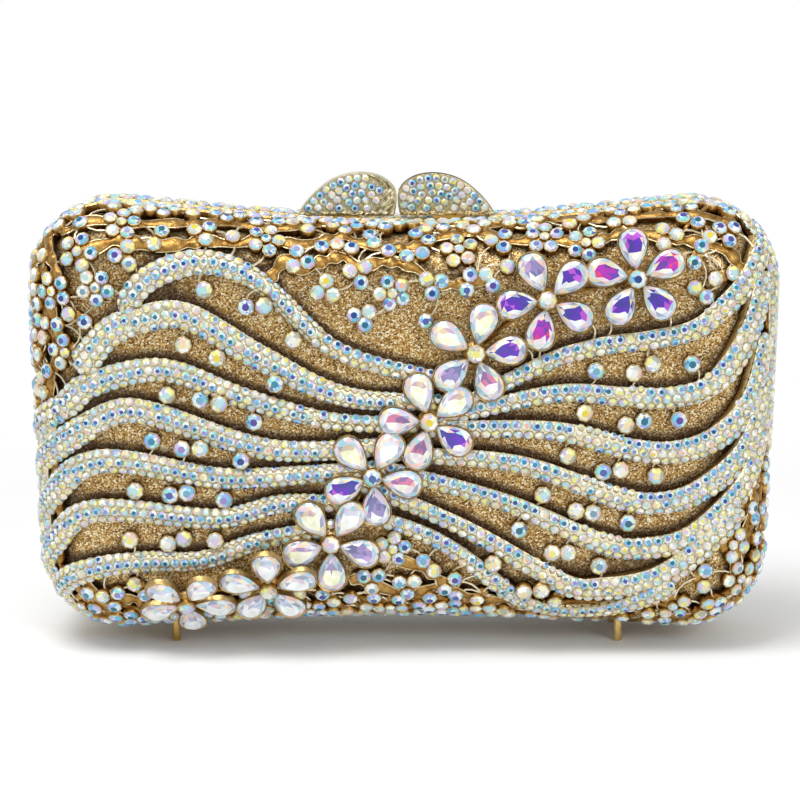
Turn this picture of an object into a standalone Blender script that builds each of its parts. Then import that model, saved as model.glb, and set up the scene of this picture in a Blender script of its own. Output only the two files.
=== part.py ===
"""Rhinestone evening clutch: two hinged shell halves under cast openwork with waves and flowers.

Metres, Z up, X along the case, the front towards -Y and the floor at Z = 0. What lies on a half is
drawn on a plan of its face that rolls over the edges down to the parting plane. The back half uses
the same castings as the front, turned half a turn about Z.
"""
import math

import bpy
import bmesh
from mathutils import Matrix, Vector

# Case body, measured on the glittered shell
case_width = 0.195
case_height = 0.112
half_depth = 0.024
edge_roll = 0.014
corner_radius = 0.020
top_dip = 0.0064
bottom_dip = 0.0035
side_lean = 0.0012
face_crown = 0.002

# Walls and fits
shell_wall = 0.0012
lining_wall = 0.0008
fit_gap = 0.0003
parting_gap = 0.0003
lining_set_back = 0.0005
weld = 0.00001
sliver = 0.0000002
overrun = 0.002

# Metal frame round each mouth, and the closing rim inside the back one
frame_depth = 0.0034
frame_proud = 0.0027
frame_chamfer = 0.0006
rim_wall = 0.0008
rim_hold = 0.006
rim_reach = 0.002

# Openwork casting
openwork_air = 0.0008
openwork_top = 0.003
band_depth = 0.0042
wave_width = 0.0075
band_chamfer = 0.0006
wave_step_down = 0.00004
spine_width = 0.0022
spine_drop = 0.00015
branch_width = 0.0026
branch_lift = 0.0003
branch_drop = 0.0005
twig_length = 0.017
twig_lean = 0.006
twig_width = 0.0022
twig_drop = 0.0009

# Sprigs on the casting's border: plates for groups of stones, on stalks where no branch is near
floret_reach = 0.0048
triple_reach = 0.0040
sprig_lift = 0.0006
sprig_rise = 0.0006
sprig_step_down = 0.00003
stalk_width = 0.0012
stalk_lift = 0.00096
stalk_drop = 0.00033
stalk_step_down = 0.00002
foot_air = 0.0006

# Flowers of five drops round a round stone
petal_length = 0.0104
petal_width = 0.0070
petal_ring = 0.0078
petal_height = 0.0022
petal_seat = 0.0008
heart_radius = 0.0021
heart_height = 0.0028
boss_radius = 0.0032
boss_height = 0.0012

# Clasp leaves on their spring stems
leaf_width = 0.0268
leaf_height = 0.0118
leaf_thick = 0.0020
leaf_bevel = 0.0005
leaf_apart = 0.0008
leaf_rise = 0.0007
stem_width = 0.0075
stem_height = 0.0082
stem_thick = 0.0006
nub_height = 0.0022
fittings_shift = -0.0018

# Hinges, feet and chain rings
hinge_inset = 0.0315
barrel_radius = 0.0015
bore_radius = 0.0009
pin_radius = 0.0006
pin_head_radius = 0.0012
pin_head_depth = 0.0006
middle_knuckle = 0.005
outer_knuckle = 0.0035
hinge_plate_wall = 0.0008
hinge_air = 0.0004
foot_inset = 0.036
foot_depth = 0.0102
foot_clearance = 0.005
foot_radius = 0.0012
foot_collar = 0.0016
foot_collar_height = 0.0022
foot_chamfer = 0.0003
foot_space = 0.0034
chain_ring_radius = 0.0026
chain_ring_wire = 0.0006
chain_ring_depth = 0.004
chain_ring_z = 0.028

# Counts
corner_steps = 3
long_steps = 8
short_steps = 2
roll_steps = 3
wave_stations = 12
spine_stations = 18
path_steps = 8
roll_crowding = 3
round_sides = 12

# Colours and finishes: red, green, blue, metallic, roughness
gold_look = (0.83, 0.62, 0.30, 1.0, 0.28)
glitter_look = (0.62, 0.44, 0.24, 0.4, 0.55)
lining_look = (0.74, 0.60, 0.36, 0.2, 0.60)
crystal_look = (0.86, 0.84, 0.95, 0.1, 0.08)
pave_look = (0.85, 0.83, 0.80, 0.5, 0.20)

# Sizes that follow from those above
half_width = case_width / 2
half_height = case_height / 2
case_middle = foot_clearance + openwork_top + half_height
flat_x = half_width - corner_radius
flat_z = half_height - corner_radius
flat_corner = corner_radius - edge_roll
rolled_reach = flat_corner + edge_roll * math.pi / 2
parting_reach = rolled_reach + half_depth - edge_roll
frame_front = parting_gap / 2
frame_back = frame_front + frame_depth
shell_mouth = frame_back + fit_gap
lining_lift = -shell_wall - fit_gap
rim_lift = lining_lift - lining_wall - fit_gap
hinge_span = middle_knuckle + 2 * outer_knuckle + 2 * fit_gap
hinge_x = half_width - hinge_inset
foot_x = half_width - foot_inset

# Wave centre lines on the plan, outer end first, as shares of half the width and half the height.
left_wave_shares = (
    ((-0.76, 0.56), (-0.69, 0.72), (-0.54, 0.82), (-0.38, 0.74), (-0.19, 0.42), (0.04, 0.28), (0.15, 0.25)),
    ((-0.88, 0.27), (-0.80, 0.45), (-0.70, 0.53), (-0.58, 0.55), (-0.39, 0.36), (-0.16, 0.16), (0.10, 0.13)),
    ((-1.11, -0.10), (-0.93, 0.08), (-0.85, 0.20), (-0.65, 0.28), (-0.44, 0.15), (-0.20, 0.03), (0.06, 0.01)),
    ((-1.12, -0.32), (-0.98, -0.15), (-0.81, 0.05), (-0.69, 0.06), (-0.44, -0.09), (-0.28, -0.13), (0.00, -0.10)),
    ((-1.11, -0.58), (-0.99, -0.38), (-0.88, -0.20), (-0.76, -0.18), (-0.52, -0.26), (-0.36, -0.26), (-0.07, -0.22)),
    ((-1.08, -0.80), (-0.98, -0.60), (-0.89, -0.44), (-0.77, -0.42), (-0.51, -0.47), (-0.34, -0.40), (-0.14, -0.40)),
    ((-1.05, -1.04), (-0.96, -0.80), (-0.87, -0.71), (-0.73, -0.68), (-0.56, -0.68), (-0.40, -0.59), (-0.18, -0.52)),
)
right_wave_shares = (
    ((1.04, 1.04), (0.94, 0.73), (0.81, 0.49), (0.67, 0.43), (0.54, 0.41), (0.38, 0.33), (0.13, 0.08)),
    ((0.98, 0.72), (0.94, 0.46), (0.85, 0.21), (0.73, 0.14), (0.60, 0.15), (0.40, 0.17), (0.08, 0.03)),
    ((1.00, 0.42), (0.95, 0.12), (0.86, -0.06), (0.74, -0.13), (0.61, -0.11), (0.40, -0.02), (0.05, -0.01)),
    ((1.00, 0.16), (0.94, -0.12), (0.83, -0.31), (0.72, -0.38), (0.59, -0.36), (0.31, -0.19), (-0.02, -0.14)),
    ((1.00, -0.06), (0.94, -0.30), (0.81, -0.54), (0.68, -0.61), (0.55, -0.59), (0.28, -0.39), (-0.06, -0.21)),
    ((0.93, -0.42), (0.81, -0.64), (0.70, -0.77), (0.57, -0.82), (0.44, -0.80), (0.17, -0.53), (-0.11, -0.30)),
    ((0.76, -0.79), (0.65, -0.89), (0.55, -0.96), (0.44, -0.98), (0.32, -0.89), (0.09, -0.59), (-0.17, -0.42)),
)
# Widths at the outer end, the middle and the flower end, as shares of wave_width, wave by wave.
left_width_shares = (
    (0.80, 0.70, 0.50),
    (0.95, 0.95, 0.55),
    (0.90, 0.85, 0.50),
    (0.95, 0.90, 0.60),
    (0.95, 0.85, 0.55),
    (0.95, 0.80, 0.55),
    (0.90, 0.75, 0.52),
)
right_width_shares = (
    (0.95, 0.72, 0.50),
    (0.95, 0.80, 0.52),
    (0.95, 0.85, 0.55),
    (0.90, 0.82, 0.50),
    (0.90, 0.80, 0.50),
    (0.80, 0.82, 0.50),
    (0.65, 0.72, 0.48),
)
# Flower centres as shares of half the width and half the height; first petal and extra lean in degrees.
flower_centre_shares = (
    (0.626, 0.737),
    (0.386, 0.662),
    (0.195, 0.398),
    (0.070, 0.035),
    (-0.085, -0.253),
    (-0.201, -0.598),
    (-0.377, -0.805),
    (-0.610, -0.858),
)
# Where the rib under the flowers runs on beyond the first and last one, to the band.
spine_start_shares = ((0.88, 1.19), (0.76, 0.95))
spine_end_shares = ((-0.75, -1.00), (-0.88, -1.20))
flower_turns = (21, 40, 4, 36, 60, 54, 18, 58)
flower_leans = (0, 0, 0, 0, 0, 2, 18, 18)
# Branches that run through the border, as shares of half the width and half the height.
branch_shares = (
    ((-0.93, 0.91), (-0.85, 0.98), (-0.74, 0.98), (-0.60, 1.01), (-0.48, 1.05), (-0.36, 1.04), (-0.27, 1.08),
     (-0.16, 1.18), (0.07, 1.18), (0.20, 1.09), (0.29, 1.11), (0.40, 1.12), (0.53, 1.06), (0.67, 1.06),
     (0.80, 1.03), (0.91, 0.96)),
    ((-1.03, 1.05), (-0.96, 0.82), (-0.93, 0.69), (-0.95, 0.55), (-0.93, 0.38), (-0.96, 0.26), (-0.97, 0.13)),
    ((-0.92, 0.77), (-0.82, 0.85), (-0.76, 0.89), (-0.68, 0.87), (-0.61, 0.89), (-0.52, 0.92), (-0.45, 0.92),
     (-0.37, 0.96), (-0.28, 0.94), (-0.22, 0.98), (-0.16, 1.01), (-0.12, 0.97), (-0.04, 0.95), (0.03, 0.95),
     (0.10, 1.01), (0.20, 1.03), (0.30, 0.96), (0.38, 0.96), (0.49, 0.92), (0.61, 0.95), (0.70, 0.91),
     (0.80, 0.87), (0.87, 0.82), (0.91, 0.73)),
    ((-0.36, 0.76), (-0.32, 0.85), (-0.27, 0.82), (-0.22, 0.86), (-0.16, 0.89), (-0.12, 0.84), (-0.05, 0.87), (0.03, 0.84),
     (0.08, 0.77), (0.16, 0.76), (0.23, 0.79)),
    ((0.97, -0.09), (0.98, -0.39), (0.95, -0.53), (0.92, -0.67), (0.95, -0.84), (0.89, -0.96), (0.77, -0.99),
     (0.71, -1.03)),
    ((-0.15, -0.79), (-0.07, -0.84), (0.01, -0.89), (0.10, -0.84), (0.19, -0.90), (0.33, -0.93)),
    ((-0.07, -0.62), (-0.01, -0.70), (0.07, -0.76), (0.13, -0.85)),
    ((-0.90, -0.74), (-0.84, -0.89), (-0.77, -0.86), (-0.70, -0.92)),
)
# Sprigs' centres as shares of half the width and half the height, and where their first stone points.
floret_shares = (
    (-0.87, 0.82), (-0.83, 0.67), (-0.94, 0.64), (-0.91, 0.35), (-0.76, 0.97), (-0.37, 0.95), (-0.16, 1.10),
    (-0.03, 0.72), (0.15, 0.92), (0.38, 0.96), (0.49, 0.91), (0.91, -0.59), (0.94, -0.76), (0.76, -0.89),
    (-0.03, -0.64), (-0.66, 1.12), (-0.48, 1.13), (0.60, 1.14), (0.76, 1.12),
)
triple_shares = (
    (-0.75, 0.82), (-0.54, 0.96), (-0.28, 0.86), (-0.12, 0.81), (-0.21, 0.73), (-0.11, 0.59), (0.08, 0.76),
    (0.26, 0.96), (0.10, 1.11), (0.78, 1.00), (0.71, 0.91), (0.87, 0.91), (0.95, -0.39), (0.83, -0.75),
    (0.86, -0.92), (-0.09, -0.80), (0.01, -0.83), (-0.82, -0.85),
)
triple_turns = (65, 170, 107, 166, 83, 45, 142, 174, 168, 63, 122, 153, 72, 54, 101, 153, 153, 162)
sprig_table_share = 0.8
floret_notch_share = 0.6
triple_notch_share = 0.45
# Half of a drop's outline, from its point to its round end, as shares of its length and width.
drop_shares = ((-0.5, 0.0), (-0.02, 0.47), (0.32, 0.40), (0.5, 0.0))
drop_table_share = 0.55
heart_table_share = 0.5
# A clasp leaf's outline from its outer foot to its inner foot, as shares of its width and height.
leaf_outline_shares = (
    (0.00, 0.00), (0.05, 0.24), (0.16, 0.54), (0.31, 0.81), (0.47, 0.96), (0.64, 1.00),
    (0.80, 0.94), (0.92, 0.74), (1.00, 0.42), (0.98, 0.14), (0.93, 0.00),
)


def clear_scene():
    """Remove what the file holds before the clutch is made."""
    for thing in list(bpy.data.objects):
        bpy.data.objects.remove(thing, do_unlink=True)


def new_collection(name, hidden=False):
    """A fresh collection in the scene."""
    group = bpy.data.collections.new(name)
    bpy.context.scene.collection.children.link(group)
    group.hide_render = hidden
    return group


def new_material(name, look):
    """A Principled material from a row of colour, metallic and roughness."""
    red, green, blue, metallic, roughness = look
    material = bpy.data.materials.new(name)
    material.use_nodes = True
    shader = material.node_tree.nodes["Principled BSDF"]
    shader.inputs["Base Color"].default_value = (red, green, blue, 1)
    shader.inputs["Metallic"].default_value = metallic
    shader.inputs["Roughness"].default_value = roughness
    material.diffuse_color = (red, green, blue, 1)
    return material


def clamp(value, low, high):
    """The value held between two ends."""
    return max(low, min(high, value))


def waist(x):
    """How much of the waist's dip a place across the case has: all in the middle, none at the ends."""
    return (1 - clamp(x / half_width, -1, 1) ** 2) ** 2


def shaped(x, depth, z):
    """A place of the plain rounded block, moved to the real case's waist, lean and crown."""
    across = clamp(x / half_width, -1, 1)
    up = clamp(z / half_height, -1, 1)
    dip = top_dip if z > 0 else bottom_dip
    crown = face_crown * (1 - across ** 2) * (1 - up ** 2) * clamp(depth / half_depth, 0, 1)
    return Vector((x + side_lean * up * across, -depth - crown, case_middle + z - dip * waist(x) * up))


def on_case(s, t, lift):
    """The place on the case of a place on the plan, raised by lift along the case's normal."""
    near_x = clamp(s, -flat_x, flat_x)
    near_z = clamp(t, -flat_z, flat_z)
    reach = math.hypot(s - near_x, t - near_z)
    over = reach - flat_corner
    if over <= 0:
        return shaped(s, half_depth + lift, t)
    bend = min(over / edge_roll, math.pi / 2)
    out = (flat_corner + (edge_roll + lift) * math.sin(bend)) / reach
    depth = half_depth - edge_roll + (edge_roll + lift) * math.cos(bend)
    depth -= max(over - edge_roll * math.pi / 2, 0)
    return shaped(near_x + (s - near_x) * out, depth, near_z + (t - near_z) * out)


def plan_rays():
    """Roots and directions, right round the case, of the lines that its rings are drawn on."""
    rays = []
    corners = ((1, 1), (-1, 1), (-1, -1), (1, -1))
    for turn, (side_x, side_z) in enumerate(corners):
        root = Vector((side_x * flat_x, side_z * flat_z))
        for step in range(corner_steps + 1):
            angle = math.pi / 2 * (turn + step / corner_steps)
            rays.append((root, Vector((math.cos(angle), math.sin(angle)))))
        next_x, next_z = corners[(turn + 1) % len(corners)]
        ahead = Vector((next_x * flat_x, next_z * flat_z))
        steps = long_steps if turn % 2 == 0 else short_steps
        for step in range(1, steps):
            rays.append((root.lerp(ahead, step / steps), rays[-1][1]))
    return rays


def ring(reach, lift):
    """Points right round the case at one reach from the rays' roots and one lift."""
    points = []
    for root, way in plan_rays():
        place = root + way * reach
        points.append(on_case(place.x, place.y, lift))
    return points


def inner_ring(share, lift):
    """Points of the rays' roots drawn in towards the middle of the face."""
    return [on_case(root.x * share, root.y * share, lift) for root, _ in plan_rays()]


def at_depth(depth, lift):
    """A ring on the side wall at one depth from the parting plane."""
    return ring(parting_reach - depth, lift)


def loft(name, sections, closed=False, capped=False):
    """A mesh of quads between neighbouring sections, with its coinciding points merged."""
    shape = bmesh.new()
    rows = [[shape.verts.new(point) for point in section] for section in sections]
    pairs = list(zip(rows, rows[1:]))
    if closed:
        pairs.append((rows[-1], rows[0]))
    for low, high in pairs:
        for here in range(len(low)):
            after = (here + 1) % len(low)
            shape.faces.new((low[here], low[after], high[after], high[here]))
    if capped:
        shape.faces.new(rows[0])
        shape.faces.new(rows[-1])
    bmesh.ops.remove_doubles(shape, verts=shape.verts, dist=weld)
    bmesh.ops.recalc_face_normals(shape, faces=shape.faces)
    if (closed or capped) and shape.calc_volume(signed=True) < 0:
        bmesh.ops.reverse_faces(shape, faces=shape.faces)
    mesh = bpy.data.meshes.new(name)
    shape.to_mesh(mesh)
    shape.free()
    return mesh


def put(name, data, group, material, parent=None, matrix=None):
    """An object for a mesh or curve that is drawn in the case's own place, under its parent empty."""
    thing = bpy.data.objects.new(name, data)
    group.objects.link(thing)
    if material and data.materials.find(material.name) < 0:
        data.materials.append(material)
    place = matrix or Matrix.Identity(4)
    if parent:
        thing.parent = parent
        drop = -parent.location if parent.parent is None else -parent.location - parent.parent.location
        place = Matrix.Translation(drop) @ place
    thing.matrix_basis = place
    return thing


def hide_cutter(thing):
    """Keep an operand out of the picture."""
    thing.hide_render = True
    thing.display_type = "WIRE"


def smooth(thing, degrees=35):
    """Shade a round piece smooth and keep its edges sharp."""
    thing.data.shade_smooth()
    thing.data.set_sharp_from_angle(angle=math.radians(degrees))


def joined(name, base, others, operation, cutters):
    """The mesh of a base object with others added to it or cut from it, which are then removed."""
    for operand in others + [base]:
        split_faces(operand.data)
    operands = bpy.data.collections.new(name + "_operands")
    cutters.children.link(operands)
    for other in others:
        cutters.objects.unlink(other)
        operands.objects.link(other)
        hide_cutter(other)
    change = base.modifiers.new(operation.title(), "BOOLEAN")
    change.operation = operation
    change.operand_type = "COLLECTION"
    change.collection = operands
    change.solver = "EXACT"
    mesh = baked(name, base, sliver)
    for other in others:
        bpy.data.objects.remove(other, do_unlink=True)
    bpy.data.objects.remove(base, do_unlink=True)
    bpy.data.collections.remove(operands)
    return mesh


def split_faces(mesh):
    """Split a mesh's faces into triangles, so that a cut has no bent face to guess at."""
    shape = bmesh.new()
    shape.from_mesh(mesh)
    bmesh.ops.triangulate(shape, faces=shape.faces)
    shape.to_mesh(mesh)
    shape.free()


def baked(name, thing, merge=weld):
    """The evaluated mesh of an object in triangles, welded and with its faces pointing out."""
    bpy.context.view_layer.update()
    ready = thing.evaluated_get(bpy.context.evaluated_depsgraph_get())
    mesh = bpy.data.meshes.new_from_object(ready)
    mesh.name = name
    mesh.transform(thing.matrix_world)
    shape = bmesh.new()
    shape.from_mesh(mesh)
    bmesh.ops.triangulate(shape, faces=shape.faces)
    bmesh.ops.remove_doubles(shape, verts=shape.verts, dist=merge)
    loose = [corner for corner in shape.verts if not corner.link_faces]
    bmesh.ops.delete(shape, geom=loose, context="VERTS")
    bmesh.ops.recalc_face_normals(shape, faces=shape.faces)
    shape.to_mesh(mesh)
    shape.free()
    return mesh


def primitive(add, name, group, matrix=None, **sizes):
    """An object from one of Blender's own mesh primitives, in a group of its own."""
    add(**sizes)
    thing = bpy.context.active_object
    thing.name = name
    for holder in list(thing.users_collection):
        holder.objects.unlink(thing)
    group.objects.link(thing)
    if matrix:
        thing.matrix_basis = matrix
    bpy.context.view_layer.update()
    return thing


def turned(name, profile, steps):
    """A solid turned about Z from a profile of (radius, height) that runs top to bottom."""
    line = bpy.data.meshes.new(name)
    points = [(radius, 0, height) for radius, height in profile]
    line.from_pydata(points, [(k, k + 1) for k in range(len(points) - 1)], [])
    thing = bpy.data.objects.new(name, line)
    bpy.context.scene.collection.objects.link(thing)
    screw = thing.modifiers.new("Screw", "SCREW")
    screw.steps = steps
    screw.render_steps = steps
    screw.use_merge_vertices = True
    screw.merge_threshold = weld
    mesh = baked(name, thing)
    bpy.data.objects.remove(thing, do_unlink=True)
    bpy.data.meshes.remove(line)
    return mesh


def outline_solid(name, points, thickness):
    """A flat solid with an outline given in X and Z, centred on Y = 0."""
    curve = bpy.data.curves.new(name, "CURVE")
    curve.dimensions = "2D"
    curve.fill_mode = "BOTH"
    curve.extrude = thickness / 2
    line = curve.splines.new("POLY")
    line.points.add(len(points) - 1)
    for knot, (x, z) in zip(line.points, points):
        knot.co = (x, z, 0, 1)
    line.use_cyclic_u = True
    thing = bpy.data.objects.new(name, curve)
    bpy.context.scene.collection.objects.link(thing)
    thing.rotation_euler.x = math.pi / 2
    mesh = baked(name, thing)
    bpy.data.objects.remove(thing, do_unlink=True)
    bpy.data.curves.remove(curve)
    return mesh


def shell_sheet(name, mouth, lift):
    """The open surface of one half, from its mouth over the roll to the middle of its face."""
    sections = [at_depth(mouth, lift)]
    for step in range(roll_steps + 1):
        reach = rolled_reach - (rolled_reach - flat_corner) * step / roll_steps
        sections.append(ring(reach, lift))
    sections += [ring(0, lift), inner_ring(0.5, lift), inner_ring(0, lift)]
    return loft(name, sections)


def thicken(thing, wall):
    """Give an open surface its wall, inwards from the surface."""
    solid = thing.modifiers.new("Wall", "SOLIDIFY")
    solid.thickness = wall
    solid.offset = -1
    solid.use_even_offset = True


def on_roll(place):
    """Whether a place of the plan lies past the flat of the face."""
    aside = Vector((abs(place.x) - flat_x, abs(place.y) - flat_z))
    return Vector((max(aside.x, 0), max(aside.y, 0))).length > flat_corner


def smooth_path(points, count):
    """Points along a smooth curve through the given ones, set closer where the case rolls over."""
    ends = [points[0] * 2 - points[1]] + list(points) + [points[-1] * 2 - points[-2]]
    fine = []
    for here in range(1, len(ends) - 2):
        before, start, end, after = ends[here - 1:here + 3]
        for step in range(path_steps):
            u = step / path_steps
            bend = (2 * before - 5 * start + 4 * end - after) * u ** 2
            twist = (3 * start - before - 3 * end + after) * u ** 3
            fine.append((2 * start + (end - before) * u + bend + twist) / 2)
    fine.append(points[-1])
    runs = [0]
    for start, end in zip(fine, fine[1:]):
        runs.append(runs[-1] + (end - start).length * (roll_crowding if on_roll(end) else 1))
    places = []
    for index in range(count):
        want = runs[-1] * index / (count - 1)
        here = max(k for k in range(len(runs) - 1) if runs[k] <= want or k == 0)
        share = clamp((want - runs[here]) / (runs[here + 1] - runs[here]), 0, 1)
        places.append(fine[here].lerp(fine[here + 1], share))
    return places


def strip_sections(path, widths, low, high):
    """Four-point sections across a strip of the openwork, square to its line on the plan."""
    sections = []
    for index, place in enumerate(path):
        ahead = path[min(index + 1, len(path) - 1)] - path[max(index - 1, 0)]
        side = Vector((-ahead.y, ahead.x)).normalized() * widths[index] / 2
        left, right = place - side, place + side
        sections.append((
            on_case(left.x, left.y, low),
            on_case(right.x, right.y, low),
            on_case(right.x, right.y, high),
            on_case(left.x, left.y, high),
        ))
    return sections


def plan_place(shares):
    """A place on the plan from its shares of half the width and half the height."""
    return Vector((shares[0] * half_width, shares[1] * half_height))


def wave(name, centre_shares, width_shares, drop, cutters):
    """One wave of the openwork, an operand for its union."""
    path = smooth_path([plan_place(shares) for shares in centre_shares], wave_stations)
    outer, middle, inner = (share * wave_width for share in width_shares)
    widths = []
    for index in range(wave_stations):
        along = 2 * index / (wave_stations - 1)
        if along < 1:
            widths.append(outer + (middle - outer) * along)
        else:
            widths.append(middle + (inner - middle) * (along - 1))
    sections = strip_sections(path, widths, openwork_air + drop, openwork_top - drop)
    return put(name, loft(name, sections, capped=True), cutters, None)


def spine(cutters):
    """The rib under the flowers that carries them from corner to corner."""
    line = spine_start_shares + flower_centre_shares + spine_end_shares
    path = smooth_path([plan_place(shares) for shares in line], spine_stations)
    widths = [spine_width] * spine_stations
    low = openwork_air + wave_step_down / 2
    high = openwork_top - spine_drop
    return put("spine", loft("spine", strip_sections(path, widths, low, high), capped=True), cutters, None)


def branch_paths():
    """The lines on the plan of the branches that run through the border."""
    paths = []
    for line in branch_shares:
        paths.append(smooth_path([plan_place(shares) for shares in line], len(line)))
    return paths


def wave_paths():
    """The lines on the plan of all the waves and of the spine, which sprigs can be held by."""
    lines = left_wave_shares + right_wave_shares + (flower_centre_shares,)
    return [smooth_path([plan_place(shares) for shares in line], wave_stations) for line in lines]


def branches(cutters):
    """The border's branches, operands for the union."""
    made = []
    for index, path in enumerate(branch_paths()):
        low = openwork_air + branch_lift + wave_step_down * index
        high = openwork_top - branch_drop - wave_step_down * (index % 6)
        sections = strip_sections(path, [branch_width] * len(path), low, high)
        made.append(put("branch_%d" % index, loft("branch", sections, capped=True), cutters, None))
    return made


def nearest_place(place, paths):
    """The place closest to a given one on any of some lines of the plan."""
    best = paths[0][0]
    for path in paths:
        for start, end in zip(path, path[1:]):
            run = end - start
            here = start.lerp(end, clamp((place - start).dot(run) / run.length_squared, 0, 1))
            if (here - place).length < (best - place).length:
                best = here
    return best


def near_foot(place, reach):
    """Whether something of a given reach on the plan would meet a foot of either half."""
    foot_t = -(flat_z + parting_reach - foot_depth)
    for x in (-foot_x, foot_x):
        for shift in (-fittings_shift, fittings_shift):
            away = Vector((place.x - x - shift, place.y - foot_t)).length
            if away < reach + foot_collar + foot_air:
                return True
    return False


def sprig_rows():
    """Every sprig as its place, turn in degrees, lobes, reach and notch share."""
    kinds = (
        (floret_shares, None, 5, floret_reach, floret_notch_share),
        (triple_shares, triple_turns, 3, triple_reach, triple_notch_share),
    )
    rows = []
    for shares, turns, lobes, reach, notch_share in kinds:
        for index, share in enumerate(shares):
            turn = turns[index] if turns else math.degrees(index)
            rows.append((plan_place(share), turn, lobes, reach, notch_share))
    return rows


def sprigs(cutters):
    """Lobed plates for the sprigs' stones, each with a stalk to the nearest branch or wave."""
    made = []
    held_by = branch_paths() + wave_paths() + twig_paths()
    for index, (place, turn, lobes, reach, notch_share) in enumerate(sprig_rows()):
        if near_foot(place, reach):
            continue
        drop = sprig_step_down * (index % 12)
        outline = []
        for corner in range(2 * lobes):
            radius = reach * (notch_share if corner % 2 else 1)
            angle = math.radians(turn) + math.pi * corner / lobes
            outline.append(Vector((math.cos(angle), math.sin(angle))) * radius)
        feet = [place + point for point in outline]
        heads = [place + point * sprig_table_share for point in outline]
        low = openwork_air + sprig_lift + drop
        high = openwork_top + sprig_rise - drop
        sections = ([on_case(p.x, p.y, low) for p in feet], [on_case(p.x, p.y, high) for p in heads])
        made.append(put("sprig_%d" % index, loft("sprig", sections, capped=True), cutters, None))
        root = nearest_place(place, held_by)
        if (root - place).length > reach * notch_share:
            step = stalk_step_down * (index % 6)
            sections = strip_sections([place, root], [stalk_width] * 2, openwork_air + stalk_lift + step,
                                      openwork_top - stalk_drop - step)
            made.append(put("stalk_%d" % index, loft("stalk", sections, capped=True), cutters, None))
    return made


def twig_paths():
    """The lines on the plan of the short slanting twigs from the band, but along the top."""
    paths = []
    root_reach = parting_reach - shell_mouth - band_depth / 2
    for index, (root, way) in enumerate(plan_rays()[::2]):
        over_foot = abs(abs(root.x) - foot_x) < foot_space + abs(fittings_shift)
        if way.y > 0 or (way.y < 0 and over_foot):
            continue
        aside = Vector((-way.y, way.x)) * twig_lean * (1 if index % 2 else -1)
        start = root + way * root_reach
        end = start - way * twig_length + aside
        paths.append([start, start.lerp(end, 0.5) - aside / 4, end])
    return paths


def twigs(cutters):
    """The short branches from the band on to the face, all round, clear of the feet."""
    made = []
    low = openwork_air + wave_step_down * 1.5
    for index, path in enumerate(twig_paths()):
        high = openwork_top - twig_drop + wave_step_down * (index % 5)
        sections = strip_sections(path, [twig_width] * len(path), low + wave_step_down * (index % 3), high)
        made.append(put("twig_%d" % index, loft("twig", sections, capped=True), cutters, None))
    return made


def openwork_mesh(cutters):
    """The whole casting of one half: band, waves, spine, branches and sprigs as one solid."""
    back = shell_mouth + band_depth
    band = loft("band", [
        at_depth(shell_mouth, fit_gap),
        at_depth(shell_mouth, openwork_top - band_chamfer),
        at_depth(shell_mouth + band_depth / 2, openwork_top),
        at_depth(back, openwork_top - band_chamfer),
        at_depth(back, fit_gap),
    ], closed=True)
    base = put("openwork_band", band, cutters, None)
    strips = [spine(cutters)]
    tables = ((left_wave_shares, left_width_shares), (right_wave_shares, right_width_shares))
    for side, (lines, widths) in enumerate(tables):
        for index, (line, width) in enumerate(zip(lines, widths)):
            drop = wave_step_down * (1 + 2 * (index % 3) + side)
            strips.append(wave("wave_%d_%d" % (side, index), line, width, drop, cutters))
    strips += twigs(cutters) + branches(cutters) + sprigs(cutters)
    return joined("openwork", base, strips, "UNION", cutters)


def stone(name, outline, low, high, table_share, cutters):
    """A cut stone: its girdle outline at the bottom and a smaller table at the top."""
    middle = sum(outline, Vector((0, 0))) / len(outline)
    table = [middle + (point - middle) * table_share for point in outline]
    sections = ([(p.x, p.y, low) for p in outline], [(p.x, p.y, high) for p in table])
    return put(name, loft(name, sections, capped=True), cutters, None)


def flower_mesh(cutters):
    """Five drops and a round stone on a boss, lying on Z = 0 with the first drop towards +X."""
    boss = primitive(bpy.ops.mesh.primitive_cylinder_add, "boss", cutters, vertices=round_sides // 2,
                     radius=boss_radius, depth=boss_height,
                     matrix=Matrix.Translation((0, 0, boss_height / 2)))
    stones = []
    half = [Vector((share_x * petal_length, share_y * petal_width)) for share_x, share_y in drop_shares]
    outline = half + [Vector((point.x, -point.y)) for point in reversed(half[1:-1])]
    for index in range(5):
        spin = Matrix.Rotation(math.radians(72 * index), 2)
        petal = [spin @ (point + Vector((petal_ring, 0))) for point in outline]
        stones.append(stone("drop_%d" % index, petal, petal_seat, petal_seat + petal_height,
                            drop_table_share, cutters))
    heart = [Matrix.Rotation(math.tau * k / round_sides * 2, 2) @ Vector((heart_radius, 0))
             for k in range(round_sides // 2)]
    stones.append(stone("heart", heart, petal_seat + wave_step_down, heart_height + petal_seat,
                        heart_table_share, cutters))
    return joined("flower", boss, stones, "UNION", cutters)


def flower_matrix(shares, turn, lean):
    """Where a flower sits: on the spine, square to the case, leaned and turned in its own plane."""
    place = plan_place(shares)
    step = boss_radius
    foot = on_case(place.x, place.y, openwork_top)
    across = (on_case(place.x + step, place.y, openwork_top) - foot).normalized()
    up = (on_case(place.x, place.y + step, openwork_top) - on_case(place.x, place.y - step, openwork_top))
    out = across.cross(up).normalized()
    up = out.cross(across)
    frame = Matrix((across, up, out)).transposed().to_4x4()
    tilt = math.radians(lean)
    seat = foot + out * (fit_gap + spine_width / 2 * math.sin(tilt))
    return (Matrix.Translation(seat) @ frame @ Matrix.Rotation(tilt, 4, "X")
            @ Matrix.Rotation(math.radians(turn), 4, "Z"))


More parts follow.
